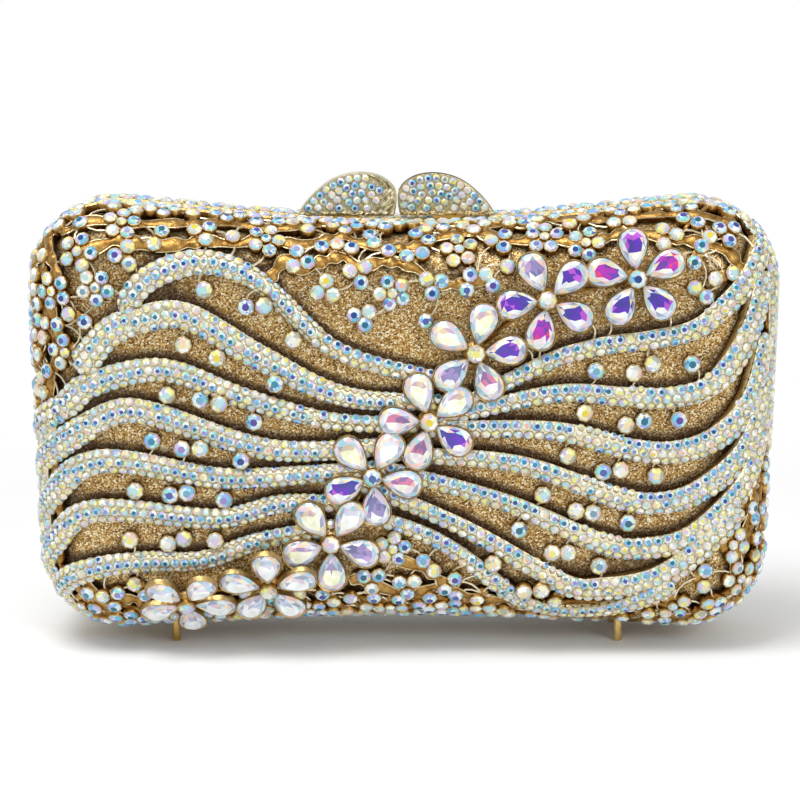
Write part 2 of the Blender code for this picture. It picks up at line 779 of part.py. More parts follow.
def frame_mesh():
    """The ring of polished metal round a mouth, with its outer edges eased."""
    outer = frame_proud
    return loft("frame", [
        at_depth(frame_front, -shell_wall),
        at_depth(frame_front, outer - frame_chamfer),
        at_depth(frame_front + frame_chamfer, outer),
        at_depth(frame_back - frame_chamfer, outer),
        at_depth(frame_back, outer - frame_chamfer),
        at_depth(frame_back, -shell_wall),
    ], closed=True)


def closing_rim_mesh():
    """The thin lip that stands out of the back half and guides the front one shut."""
    return loft("closing_rim", [
        at_depth(-rim_reach, rim_lift - rim_wall),
        at_depth(-rim_reach, rim_lift),
        at_depth(rim_hold, rim_lift),
        at_depth(rim_hold, rim_lift - rim_wall),
    ], closed=True)


def frame_edge_z(x, up):
    """Height of the frame's outer face at a place across the case, above or below."""
    dip = top_dip if up > 0 else bottom_dip
    return case_middle + up * (half_height + frame_proud - dip * waist(x))


def hinge_height():
    """Height of the hinge line, just under the lowest part of the frame that it spans."""
    return frame_edge_z(hinge_x + hinge_span / 2, -1) - hinge_air - barrel_radius


def knuckle_mesh(name, length, cutters):
    """A bored barrel about X with the plate that is soldered under the frame towards -Y."""
    along = Matrix.Rotation(math.pi / 2, 4, "Y")
    barrel = primitive(bpy.ops.mesh.primitive_cylinder_add, name + "_barrel", cutters, matrix=along,
                       vertices=round_sides, radius=barrel_radius, depth=length)
    top = barrel_radius + hinge_air - fit_gap
    reach = frame_back
    plate = primitive(bpy.ops.mesh.primitive_cube_add, name + "_plate", cutters, size=1)
    plate.matrix_basis = (Matrix.Translation((0, -reach / 2, top - hinge_plate_wall / 2))
                          @ Matrix.Diagonal((length, reach, hinge_plate_wall, 1)))
    solid = put(name, joined(name, barrel, [plate], "UNION", cutters), cutters, None)
    bore = primitive(bpy.ops.mesh.primitive_cylinder_add, name + "_bore", cutters, matrix=along,
                     vertices=round_sides, radius=bore_radius, depth=length + overrun)
    return joined(name, solid, [bore], "DIFFERENCE", cutters)


def pin_mesh():
    """A riveted pin about Z, with a head beyond the knuckles at each end."""
    half = hinge_span / 2 + fit_gap
    end = half + pin_head_depth
    profile = ((0, end), (pin_head_radius, end), (pin_head_radius, half), (pin_radius, half),
               (pin_radius, -half), (pin_head_radius, -half), (pin_head_radius, -end), (0, -end))
    return turned("hinge_pin", profile, round_sides // 2)


def foot_mesh():
    """A turned peg that stands on the floor, with a collar where it meets the case."""
    place = on_case(foot_x, -(flat_z + parting_reach - foot_depth), 0)
    top = place.z - fit_gap
    neck = top - foot_collar_height
    profile = ((0, top), (foot_collar, top), (foot_collar, neck), (foot_radius, neck - foot_chamfer),
               (foot_radius, foot_chamfer), (foot_radius - foot_chamfer, 0), (0, 0))
    return turned("foot", profile, round_sides)


def leaf_mesh():
    """A clasp leaf in X and Z, its outer foot at X = 0 and its face about Y = 0."""
    points = [(share_x * leaf_width, share_z * leaf_height) for share_x, share_z in leaf_outline_shares]
    return outline_solid("leaf", points, leaf_thick)


def stem_mesh():
    """The spring strip behind a leaf, with the nub that snaps past its partner."""
    half = stem_width / 2
    nub = leaf_width / 2
    points = ((-half, 0), (half, 0), (half, stem_height - nub_height), (nub, stem_height - nub_height),
              (nub, stem_height), (-half, stem_height))
    return outline_solid("stem", points, stem_thick)


def build_half(name, parent, meshes, group, looks):
    """Everything that is fixed to one half of the case, but for its clasp leaf."""
    put(name + "_frame", meshes["frame"], group, looks["gold"], parent)
    put(name + "_openwork", meshes["openwork"], group, looks["pave"], parent)
    shell = put(name + "_shell", meshes["shell"], group, looks["glitter"], parent)
    thicken(shell, shell_wall)
    lining = put(name + "_lining", meshes["lining"], group, looks["lining"], parent)
    thicken(lining, lining_wall)
    rows = zip(flower_centre_shares, flower_turns, flower_leans)
    for index, (shares, turn, lean) in enumerate(rows):
        put("%s_flower_%d" % (name, index + 1), meshes["flower"], group, looks["crystal"], parent,
            flower_matrix(shares, turn, lean))
    side = 1 if name == "front" else -1
    for word, x in (("left", -foot_x), ("right", foot_x)):
        place = Matrix.Translation((side * (fittings_shift + x), -foot_depth, 0))
        put("%s_foot_%s" % (name, word), meshes["foot"], group, looks["gold"], parent, place)


def build_leaf(name, parent, side, meshes, group, looks):
    """One clasp leaf and its stem under an empty on the line that the stem bends about."""
    centre = side * fittings_shift - leaf_apart / 2 - leaf_width / 2
    outer = centre - leaf_width / 2
    stem_y = -parting_gap - stem_thick / 2
    root_z = frame_edge_z(centre - stem_width / 2, 1) + fit_gap
    pivot = bpy.data.objects.new(name + "_leaf_bend", None)
    group.objects.link(pivot)
    pivot.parent = parent
    pivot.location = Vector((centre, stem_y, root_z)) - parent.location
    put(name + "_leaf_stem", meshes["stem"], group, looks["gold"], pivot,
        Matrix.Translation((centre, stem_y, root_z)))
    leaf_y = stem_y - stem_thick / 2 - fit_gap - leaf_thick / 2
    leaf_z = frame_edge_z(outer, 1) + leaf_rise
    leaf = put(name + "_leaf", meshes["leaf"], group, looks["pave"], pivot,
               Matrix.Translation((outer, leaf_y, leaf_z)))
    ease = leaf.modifiers.new("Bevel", "BEVEL")
    ease.width = leaf_bevel
    ease.segments = 1
    ease.limit_method = "ANGLE"


def build_hinges(front, back, height, group, looks, cutters):
    """Two pinned hinges under the case: the front half's knuckles between the back half's."""
    middle = knuckle_mesh("knuckle_middle", middle_knuckle, cutters)
    outer = knuckle_mesh("knuckle_outer", outer_knuckle, cutters)
    pin = pin_mesh()
    step = (middle_knuckle + outer_knuckle) / 2 + fit_gap
    for word, x in (("left", -hinge_x), ("right", hinge_x)):
        put("front_knuckle_" + word, middle, group, looks["gold"], front,
            Matrix.Translation((x, 0, height)))
        for name, shift in (("outer", step), ("inner", -step)):
            along = math.copysign(abs(x) + shift, x)
            put("back_knuckle_%s_%s" % (word, name), outer, group, looks["gold"], back,
                Matrix.Translation((-along, 0, height)))
        axle = put("hinge_pin_" + word, pin, group, looks["gold"])
        axle.matrix_basis = Matrix.Translation((x, 0, height)) @ Matrix.Rotation(math.pi / 2, 4, "Y")


def build_chain_rings(parent, group, looks):
    """Rings inside the back half that a removable chain hooks on to."""
    rise = case_middle + chain_ring_z
    inside = on_case(flat_x + parting_reach - chain_ring_depth, chain_ring_z, rim_lift - rim_wall).x
    x = inside - fit_gap - chain_ring_radius - chain_ring_wire
    for word, side in (("left", 1), ("right", -1)):
        loop = primitive(bpy.ops.mesh.primitive_torus_add, "loop", group, major_radius=chain_ring_radius,
                         minor_radius=chain_ring_wire, major_segments=12, minor_segments=6)
        mesh = loop.data
        bpy.data.objects.remove(loop, do_unlink=True)
        put("chain_ring_" + word, mesh, group, looks["gold"], parent,
            Matrix.Translation((side * x, -chain_ring_depth, rise)))


def main():
    """Make the whole clutch."""
    clear_scene()
    group = new_collection("rhinestone_clutch")
    cutters = new_collection("cutters", hidden=True)
    looks = {
        "gold": new_material("polished_gold_metal", gold_look),
        "glitter": new_material("glittered_shell", glitter_look),
        "lining": new_material("metallic_lining", lining_look),
        "crystal": new_material("cut_crystal", crystal_look),
        "pave": new_material("stone_set_gold", pave_look),
    }
    meshes = {
        "frame": frame_mesh(),
        "openwork": openwork_mesh(cutters),
        "shell": shell_sheet("shell", shell_mouth, 0),
        "lining": shell_sheet("lining", lining_set_back, lining_lift),
        "flower": flower_mesh(cutters),
        "foot": foot_mesh(),
        "leaf": leaf_mesh(),
        "stem": stem_mesh(),
    }
    height = hinge_height()
    halves = {}
    for name, turn in (("front", 0), ("back", math.pi)):
        hinge_line = bpy.data.objects.new(name + "_half", None)
        group.objects.link(hinge_line)
        hinge_line.location = (0, 0, height)
        hinge_line.rotation_euler.z = turn
        halves[name] = hinge_line
        build_half(name, hinge_line, meshes, group, looks)
        build_leaf(name, hinge_line, 1 if name == "front" else -1, meshes, group, looks)
    put("closing_rim", closing_rim_mesh(), group, looks["gold"], halves["back"])
    build_chain_rings(halves["back"], group, looks)
    build_hinges(halves["front"], halves["back"], height, group, looks, cutters)
    for thing in group.objects:
        if thing.type == "MESH":
            smooth(thing)


main()
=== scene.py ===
"""Rhinestone evening clutch: the looks of the case, its stone-set openwork, flowers and clasp.

Metres, Z up, the front towards -Y. What lies on the case is drawn on a plan of its face, which
rolls over the edges down to the parting plane. The back half is the front turned half a turn.
"""

import logging
import math
from dataclasses import dataclass, field
from enum import Enum
from itertools import product

import bmesh
import bpy
import numpy as np
from mathutils import Matrix, Vector


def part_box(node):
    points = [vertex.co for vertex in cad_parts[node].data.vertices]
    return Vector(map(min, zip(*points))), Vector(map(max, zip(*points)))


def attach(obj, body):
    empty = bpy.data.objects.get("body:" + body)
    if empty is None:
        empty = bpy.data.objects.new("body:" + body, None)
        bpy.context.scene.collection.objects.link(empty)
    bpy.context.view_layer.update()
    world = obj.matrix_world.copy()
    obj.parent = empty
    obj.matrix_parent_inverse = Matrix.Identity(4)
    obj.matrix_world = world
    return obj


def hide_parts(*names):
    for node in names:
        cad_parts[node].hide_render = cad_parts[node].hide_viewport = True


log = logging.getLogger("clutch")
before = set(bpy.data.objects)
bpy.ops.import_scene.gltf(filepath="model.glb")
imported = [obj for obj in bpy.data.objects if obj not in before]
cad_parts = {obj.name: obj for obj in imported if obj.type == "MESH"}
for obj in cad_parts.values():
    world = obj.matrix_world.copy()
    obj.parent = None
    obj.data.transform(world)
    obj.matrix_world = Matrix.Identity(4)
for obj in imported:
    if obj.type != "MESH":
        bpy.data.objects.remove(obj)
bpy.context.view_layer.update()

MM = 0.001
DIFFERENCE_STEP = 0.05 * MM
UP = np.array((0.0, 0.0, 1.0))


def linear(code: str) -> tuple[float, float, float, float]:
    """Turn an sRGB hex colour to linear light.

    Args:
        code: the colour, such as "#c99a45".

    Returns:
        Red, green, blue and an alpha of one.
    """
    parts = [int(code[at:at + 2], 16) / 255 for at in (1, 3, 5)]
    light = [part / 12.92 if part <= 0.04045 else ((part + 0.055) / 1.055) ** 2.4 for part in parts]
    return (light[0], light[1], light[2], 1.0)


def feed(tree: bpy.types.NodeTree, node: bpy.types.Node, inputs: dict) -> None:
    """Fill a node's inputs.

    Args:
        tree: the node's tree.
        node: the node.
        inputs: for a socket's name or number, the value it holds or the socket that feeds it.
    """
    for name, value in inputs.items():
        if isinstance(value, bpy.types.NodeSocket):
            tree.links.new(value, node.inputs[name])
        else:
            node.inputs[name].default_value = value


def add_node(tree: bpy.types.NodeTree, kind: str, settings: dict | None = None,
             inputs: dict | None = None) -> bpy.types.Node:
    """Add a node to a tree, with its settings and links.

    Args:
        tree: the material's or the modifier's node tree.
        kind: Blender's name for the node.
        settings: values for the node's own properties; stops fills a colour ramp.
        inputs: for a socket's name or number, the value it holds or the socket that feeds it.

    Returns:
        The new node.
    """
    node = tree.nodes.new(kind)
    for name, value in (settings or {}).items():
        if name == "stops":
            ramp = node.color_ramp
            while len(ramp.elements) < len(value):
                ramp.elements.new(0.5)
            for stop, (place, code) in zip(ramp.elements, value):
                stop.position = place
                stop.color = linear(code)
        elif name == "steps":
            node.color_ramp.interpolation = value
        else:
            setattr(node, name, value)
    feed(tree, node, inputs or {})
    return node


def new_material(name: str) -> tuple[bpy.types.Material, bpy.types.NodeTree, bpy.types.Node]:
    """A new material, its node tree and its shader."""
    made = bpy.data.materials.new(name)
    made.use_nodes = True
    return made, made.node_tree, made.node_tree.nodes["Principled BSDF"]


def new_object(name: str, data: bpy.types.ID) -> bpy.types.Object:
    """A new object in the scene."""
    made = bpy.data.objects.new(name, data)
    bpy.context.scene.collection.objects.link(made)
    return made


def unit(vectors: np.ndarray) -> np.ndarray:
    """Vectors of length one in the same directions."""
    return vectors / np.maximum(np.linalg.norm(vectors, axis=-1, keepdims=True), 1e-12)


# Finishes


@dataclass(frozen=True)
class CastGold:
    """Gold-plated cast metal: pale champagne on its crests, a painted highlight, and brown low down, a
    painted shade in the hollows.

    Each corner's lift over the case comes from an attribute of the mesh.
    """

    name: str = "gold_plated_casting"
    stops: tuple = ((0.0, "#382009"), (0.22, "#7f5620"), (0.45, "#b08a4c"), (0.70, "#cfb47c"),
                    (1.0, "#ebe4ca"))
    roughness: float = 0.40
    casting_grain: float = 1.3 * MM
    grain_depth: float = 0.4 * MM
    grain_share: float = 0.5
    low: float = 0.6 * MM
    high: float = 3.1 * MM

    # Champagne plating of the waves' cups and the clasp's leaves: dark grey brown low down as painted shade,
    # up to pale gold as painted highlight
    pale_stops = ((0.0, "#3c3222"), (0.25, "#82734f"), (0.5, "#b0a27c"), (0.75, "#d6caa2"),
                  (1.0, "#f3eed6"))

    def material(self) -> bpy.types.Material:
        """Build the material."""
        made, tree, shader = new_material(self.name)
        lift = add_node(tree, "ShaderNodeAttribute", {"attribute_name": "lift"})
        share = add_node(tree, "ShaderNodeMapRange", {}, {
            "Value": lift.outputs["Fac"], "From Min": self.low, "From Max": self.high})
        coords = add_node(tree, "ShaderNodeTexCoord")
        grain = add_node(tree, "ShaderNodeTexNoise", {}, {
            "Vector": coords.outputs["Object"], "Scale": 1 / self.casting_grain, "Detail": 3.0})
        wander = add_node(tree, "ShaderNodeMath", {"operation": "MULTIPLY_ADD"}, {
            0: grain.outputs["Fac"], 1: self.grain_share, 2: share.outputs["Result"]})
        shift = add_node(tree, "ShaderNodeMath", {"operation": "SUBTRACT"}, {
            0: wander.outputs[0], 1: self.grain_share / 2})
        # The ramp paints shade on low metal and a highlight on high metal, from the lift attribute
        ramp = add_node(tree, "ShaderNodeValToRGB", {"stops": self.stops}, {"Fac": shift.outputs[0]})
        bump = add_node(tree, "ShaderNodeBump", {}, {
            "Strength": 0.8, "Distance": self.grain_depth, "Height": grain.outputs["Fac"]})
        feed(tree, shader, {"Base Color": ramp.outputs["Color"], "Normal": bump.outputs["Normal"],
                            "Metallic": 1.0, "Roughness": self.roughness})
        return made


@dataclass(frozen=True)
class PolishedGold:
    """Rolled or turned metal, gold plated and polished: smooth, with faint wipe marks."""

    name: str = "polished_gold_plate"
    gold: str = "#dfc180"
    worn: str = "#c09a52"
    roughness: float = 0.18
    mark_length: float = 6 * MM

    def material(self) -> bpy.types.Material:
        """Build the material."""
        made, tree, shader = new_material(self.name)
        coords = add_node(tree, "ShaderNodeTexCoord")
        cloud = add_node(tree, "ShaderNodeTexNoise", {}, {
            "Vector": coords.outputs["Object"], "Scale": 1 / self.mark_length, "Detail": 6.0})
        ramp = add_node(tree, "ShaderNodeValToRGB", {
            "stops": ((0.35, self.worn), (0.6, self.gold))}, {"Fac": cloud.outputs["Fac"]})
        gloss = add_node(tree, "ShaderNodeMapRange", {}, {
            "Value": cloud.outputs["Fac"], "To Min": self.roughness, "To Max": self.roughness * 2})
        feed(tree, shader, {"Base Color": ramp.outputs["Color"], "Roughness": gloss.outputs["Result"],
                            "Metallic": 1.0})
        return made


@dataclass(frozen=True)
class AuroraChaton:
    """Small foiled glass stones with an aurora coating: two-tone crowns, tables from opal to navy.

    Each corner carries facet (where its facet lies in the crown's play of colour, or -1 on the
    girdle), table (1 on the flat top), stone (a chance for its stone) and dark, which is 1 on a
    stone whose table gets a painted dark reflection and whose crown turns cool.
    """

    name: str = "aurora_coated_chaton"
    cool_crowns: tuple = ((0.0, "#6fb6d6"), (0.16, "#c9dde6"), (0.32, "#8fa6de"), (0.46, "#e2e6e2"),
                          (0.60, "#8fd0cc"), (0.74, "#bdb4dc"), (0.88, "#dcdfc2"), (0.96, "#5a76aa"))
    warm_crowns: tuple = ((0.0, "#bfc6be"), (0.14, "#dfdf8c"), (0.28, "#eef0ea"), (0.42, "#b8b4d4"),
                          (0.55, "#e2e0c0"), (0.68, "#a2d0da"), (0.80, "#dcbcb0"), (0.90, "#a4ab9c"))
    # Painted dark reflections, teal to navy, for the tables of stones marked dark
    painted_reflection_tables: tuple = ((0.0, "#17647a"), (0.18, "#1d3f7e"), (0.36, "#2b7f97"), (0.50, "#46599a"),
                          (0.62, "#6a9db4"), (0.74, "#4b3f8e"), (0.84, "#1f5a6a"), (0.93, "#8d7fb8"))
    pale_tables: tuple = ((0.0, "#dadbd6"), (0.18, "#dcd47a"), (0.34, "#c7b8d6"), (0.46, "#a9cfd0"),
                          (0.60, "#dccba2"), (0.74, "#dba894"), (0.80, "#6c8ea6"), (0.92, "#d6c23c"))
    rim: str = "#6f6552"
    roughness: float = 0.09
    ior: float = 1.58
    spread: float = 7.31

    def material(self) -> bpy.types.Material:
        """Build the material."""
        made, tree, shader = new_material(self.name)
        parts = {key: add_node(tree, "ShaderNodeAttribute", {"attribute_name": key}).outputs["Fac"]
                 for key in ("facet", "table", "stone", "dark")}
        blend = add_node(tree, "ShaderNodeMath", {"operation": "MULTIPLY_ADD"}, {
            0: parts["stone"], 1: self.spread, 2: parts["facet"]})
        chance = add_node(tree, "ShaderNodeMath", {"operation": "FRACT"}, {0: blend.outputs[0]})
        # Stones marked dark take the cool crowns and the painted dark reflection in their tables
        mixed = []
        for pale, dark, source in ((self.warm_crowns, self.cool_crowns, chance.outputs[0]),
                                   (self.pale_tables, self.painted_reflection_tables, parts["stone"])):
            sides = [add_node(tree, "ShaderNodeValToRGB", {"stops": stops, "steps": "CONSTANT"},
                              {"Fac": source}).outputs["Color"] for stops in (pale, dark)]
            mixed.append(add_node(tree, "ShaderNodeMix", {"data_type": "RGBA"}, {
                0: parts["dark"], 6: sides[0], 7: sides[1]}))
        faces = add_node(tree, "ShaderNodeMix", {"data_type": "RGBA"}, {
            0: parts["table"], 6: mixed[0].outputs[2], 7: mixed[1].outputs[2]})
        edge = add_node(tree, "ShaderNodeMath", {"operation": "LESS_THAN"}, {0: parts["facet"], 1: -0.5})
        whole = add_node(tree, "ShaderNodeMix", {"data_type": "RGBA"}, {
            0: edge.outputs[0], 6: faces.outputs[2], 7: linear(self.rim)})
        feed(tree, shader, {"Base Color": whole.outputs[2], "Roughness": self.roughness, "IOR": self.ior})
        return made


@dataclass(frozen=True)
class AuroraDrop:
    """Pear-cut foiled glass with an aurora coating: each facet's colour is stored on the mesh."""

    name: str = "aurora_coated_drop"
    roughness: float = 0.06
    ior: float = 1.58
    cloud_size: float = 3.8 * MM
    dimmest: float = 0.78
    brightest: float = 1.05

    def material(self) -> bpy.types.Material:
        """Build the material."""
        made, tree, shader = new_material(self.name)
        tint = add_node(tree, "ShaderNodeAttribute", {"attribute_name": "tint"})
        coords = add_node(tree, "ShaderNodeTexCoord")
        cloud = add_node(tree, "ShaderNodeTexNoise", {}, {
            "Vector": coords.outputs["Object"], "Scale": 1 / self.cloud_size, "Detail": 1.0})
        bright = add_node(tree, "ShaderNodeMapRange", {}, {
            "Value": cloud.outputs["Fac"], "From Min": 0.3, "From Max": 0.7,
            "To Min": self.dimmest, "To Max": self.brightest})
        shaded = add_node(tree, "ShaderNodeVectorMath", {"operation": "SCALE"}, {
            0: tint.outputs["Color"], "Scale": bright.outputs["Result"]})
        feed(tree, shader, {"Base Color": shaded.outputs[0], "Roughness": self.roughness, "IOR": self.ior})
        return made


@dataclass(frozen=True)
class ShellGlitter:
    """Metal-foil glitter glued over the moulded shell: flakes from copper brown to pale gold.

    The flakes are drawn about twice their real size, or they would be lost in the picture. The
    shell's shade attribute is 1 where waves stand close all round, and there a painted shade turns
    the coat dark brown.
    Half of what shows is foil and half the clear glue over it, so the shader is half metallic.
    """

    name: str = "foil_glitter_coat"
    flake: float = 0.36 * MM
    tones: tuple = ((0.0, "#472a0c"), (0.16, "#8a6026"), (0.38, "#b58b45"), (0.62, "#c9a260"),
                    (0.80, "#ecd292"), (0.93, "#fff6d6"))
    # Painted shade: the colour the coat takes where the shade attribute is high
    dark: str = "#331704"
    speckle: float = 0.25
    smoothest: float = 0.25
    roughest: float = 0.6

    def material(self) -> bpy.types.Material:
        """Build the material."""
        made, tree, shader = new_material(self.name)
        coords = add_node(tree, "ShaderNodeTexCoord")
        cells = add_node(tree, "ShaderNodeTexVoronoi", {}, {
            "Vector": coords.outputs["Object"], "Scale": 1 / self.flake, "Randomness": 1.0})
        parts = add_node(tree, "ShaderNodeSeparateColor", {}, {"Color": cells.outputs["Color"]})
        tones = add_node(tree, "ShaderNodeValToRGB", {"stops": self.tones}, {"Fac": parts.outputs[0]})
        shade = add_node(tree, "ShaderNodeAttribute", {"attribute_name": "shade"})
        # Random speckle plus the painted shade sets how dark each flake is
        speckle_and_shade = add_node(tree, "ShaderNodeMath", {"operation": "MULTIPLY_ADD", "use_clamp": True}, {
            0: parts.outputs[2], 1: -self.speckle, 2: shade.outputs["Fac"]})
        coat = add_node(tree, "ShaderNodeMix", {"data_type": "RGBA"}, {
            0: speckle_and_shade.outputs[0], 6: tones.outputs["Color"], 7: linear(self.dark)})
        tilt = add_node(tree, "ShaderNodeBump", {}, {
            "Strength": 0.7, "Distance": self.flake, "Height": parts.outputs[1]})
        gloss = add_node(tree, "ShaderNodeMapRange", {}, {
            "Value": parts.outputs[2], "To Min": self.smoothest, "To Max": self.roughest})
        feed(tree, shader, {"Base Color": coat.outputs[2], "Normal": tilt.outputs["Normal"],
                            "Roughness": gloss.outputs["Result"], "Metallic": 0.5})
        return made


@dataclass(frozen=True)
class MetallicLining:
    """Gold foiled leatherette glued into the trays: soft sheen and a fine pressed grain."""

    name: str = "gold_foiled_lining"
    base: str = "#c4a15c"
    shade: str = "#a9854a"
    grain: float = 0.8 * MM
    grain_depth: float = 0.1 * MM
    roughness: float = 0.42

    def material(self) -> bpy.types.Material:
        """Build the material."""
        made, tree, shader = new_material(self.name)
        coords = add_node(tree, "ShaderNodeTexCoord")
        cells = add_node(tree, "ShaderNodeTexVoronoi", {"feature": "DISTANCE_TO_EDGE"}, {
            "Vector": coords.outputs["Object"], "Scale": 1 / self.grain})
        pits = add_node(tree, "ShaderNodeValToRGB", {
            "stops": ((0.0, self.shade), (0.15, self.base))}, {"Fac": cells.outputs["Distance"]})
        bump = add_node(tree, "ShaderNodeBump", {}, {
            "Strength": 0.5, "Distance": self.grain_depth, "Height": cells.outputs["Distance"]})
        feed(tree, shader, {"Base Color": pits.outputs["Color"], "Normal": bump.outputs["Normal"],
                            "Metallic": 0.6, "Roughness": self.roughness})
        return made


# The case's form and the plan that its castings are drawn on


@dataclass(frozen=True)
class CaseForm:
    """One half's rolled and waisted surface, and the plan of its face that lies over it."""

    width: float = 195 * MM
    height: float = 112 * MM
    half_depth: float = 24 * MM
    edge_roll: float = 14 * MM
    corner_radius: float = 20 * MM
    top_dip: float = 6.4 * MM
    bottom_dip: float = 3.5 * MM
    side_lean: float = 1.2 * MM
    face_crown: float = 2 * MM
    middle: float = 64 * MM
    shell_mouth: float = 3.85 * MM
    crowding: int = 3

    @property
    def half_width(self) -> float:
        """Half of the case's width."""
        return self.width / 2

    @property
    def half_height(self) -> float:
        """Half of the case's height."""
        return self.height / 2

    @property
    def half_size(self) -> np.ndarray:
        """Half of the case's width and height."""
        return np.array((self.half_width, self.half_height))

    @property
    def flat(self) -> np.ndarray:
        """Where the corners' centres lie across and up the plan."""
        return self.half_size - self.corner_radius

    @property
    def flat_corner(self) -> float:
        """Radius of the flat face's corners."""
        return self.corner_radius - self.edge_roll

    @property
    def rolled_reach(self) -> float:
        """Reach on the plan at which the roll ends and the side wall begins."""
        return self.flat_corner + self.edge_roll * math.pi / 2

    @property
    def parting_reach(self) -> float:
        """Reach on the plan of the parting plane."""
        return self.rolled_reach + self.half_depth - self.edge_roll

    def reach(self, plan: np.ndarray) -> np.ndarray:
        """How far places lie from the corners' centres and the lines between them."""
        away = plan - np.clip(plan, -self.flat, self.flat)
        return np.hypot(away[..., 0], away[..., 1])

    def place(self, plan: np.ndarray, lift: np.ndarray | float) -> np.ndarray:
        """Find the places on the case of places on the plan.

        Args:
            plan: places on the plan, in the last axis.
            lift: how far each is raised along the case's normal.

        Returns:
            Places in the frame, in the last axis.
        """
        near = np.clip(plan, -self.flat, self.flat)
        away = plan - near
        reach = np.hypot(away[..., 0], away[..., 1])
        over = reach - self.flat_corner
        bend = np.clip(over / self.edge_roll, 0, math.pi / 2)
        rolled = (self.flat_corner + (self.edge_roll + lift) * np.sin(bend)) / np.maximum(reach, 1e-9)
        out = np.where(over > 0, rolled, 1.0)
        depth = self.half_depth - self.edge_roll + (self.edge_roll + lift) * np.cos(bend)
        depth = depth - np.maximum(over - self.edge_roll * math.pi / 2, 0)
        x, z = near[..., 0] + away[..., 0] * out, near[..., 1] + away[..., 1] * out
        across = np.clip(x / self.half_width, -1, 1)
        up = np.clip(z / self.half_height, -1, 1)
        dip = np.where(z > 0, self.top_dip, self.bottom_dip) * (1 - across ** 2) ** 2
        crown = self.face_crown * (1 - across ** 2) * (1 - up ** 2) * np.clip(depth / self.half_depth, 0, 1)
        return np.stack((x + self.side_lean * up * across, -depth - crown, self.middle + z - dip * up), -1)

    def normal(self, plan: np.ndarray, lift: np.ndarray | float = 0.0) -> np.ndarray:
        """The case's outward normals at places on the plan."""
        step_s, step_t = np.array((DIFFERENCE_STEP, 0)), np.array((0, DIFFERENCE_STEP))
        along = self.place(plan + step_s, lift) - self.place(plan - step_s, lift)
        up = self.place(plan + step_t, lift) - self.place(plan - step_t, lift)
        return unit(np.cross(along, up))

    def plan_place(self, shares: tuple) -> np.ndarray:
        """A place on the plan from its shares of half the width and half the height."""
        return np.array(shares, float) * self.half_size

    def rays(self, long_steps: int, short_steps: int, corner_steps: int) -> tuple[np.ndarray, np.ndarray]:
        """Roots and directions, right round the case, of the lines that rings are drawn on.

        Args:
            long_steps: rays along the top and the bottom.
            short_steps: rays along each side.
            corner_steps: rays round each corner.

        Returns:
            The roots on the plan and the directions, as rows.
        """
        roots, ways = [], []
        corners = ((1, 1), (-1, 1), (-1, -1), (1, -1))
        for turn, corner in enumerate(corners):
            root = self.flat * corner
            for step in range(corner_steps + 1):
                angle = math.pi / 2 * (turn + step / corner_steps)
                roots.append(root)
                ways.append((math.cos(angle), math.sin(angle)))
            ahead = self.flat * corners[(turn + 1) % 4]
            steps = long_steps if turn % 2 == 0 else short_steps
            for step in range(1, steps):
                roots.append(root + (ahead - root) * step / steps)
                ways.append(ways[-1])
        return np.array(roots), np.array(ways)

    def smooth_path(self, points: np.ndarray, count: int) -> np.ndarray:
        """Even places along a smooth curve through a few points, closer where the case rolls over.

        Args:
            points: the plan places that the curve runs through.
            count: how many places to give.

        Returns:
            Places on the plan, as rows.
        """
        ends = np.vstack((points[0] * 2 - points[1], points, points[-1] * 2 - points[-2]))
        u = np.linspace(0, 1, 8, endpoint=False)[:, None]
        fine = []
        for here in range(1, len(ends) - 2):
            before, start, end, after = ends[here - 1:here + 3]
            bend = (2 * before - 5 * start + 4 * end - after) * u ** 2
            twist = (3 * start - before - 3 * end + after) * u ** 3
            fine.append((2 * start + (end - before) * u + bend + twist) / 2)
        fine = np.vstack((*fine, points[-1:]))
        rolled = np.where(self.reach(fine[1:]) > self.flat_corner, self.crowding, 1)
        runs = np.concatenate(((0,), np.cumsum(np.linalg.norm(np.diff(fine, axis=0), axis=1) * rolled)))
        wanted = np.linspace(0, runs[-1], count)
        return np.stack([np.interp(wanted, runs, fine[:, axis]) for axis in (0, 1)], -1)


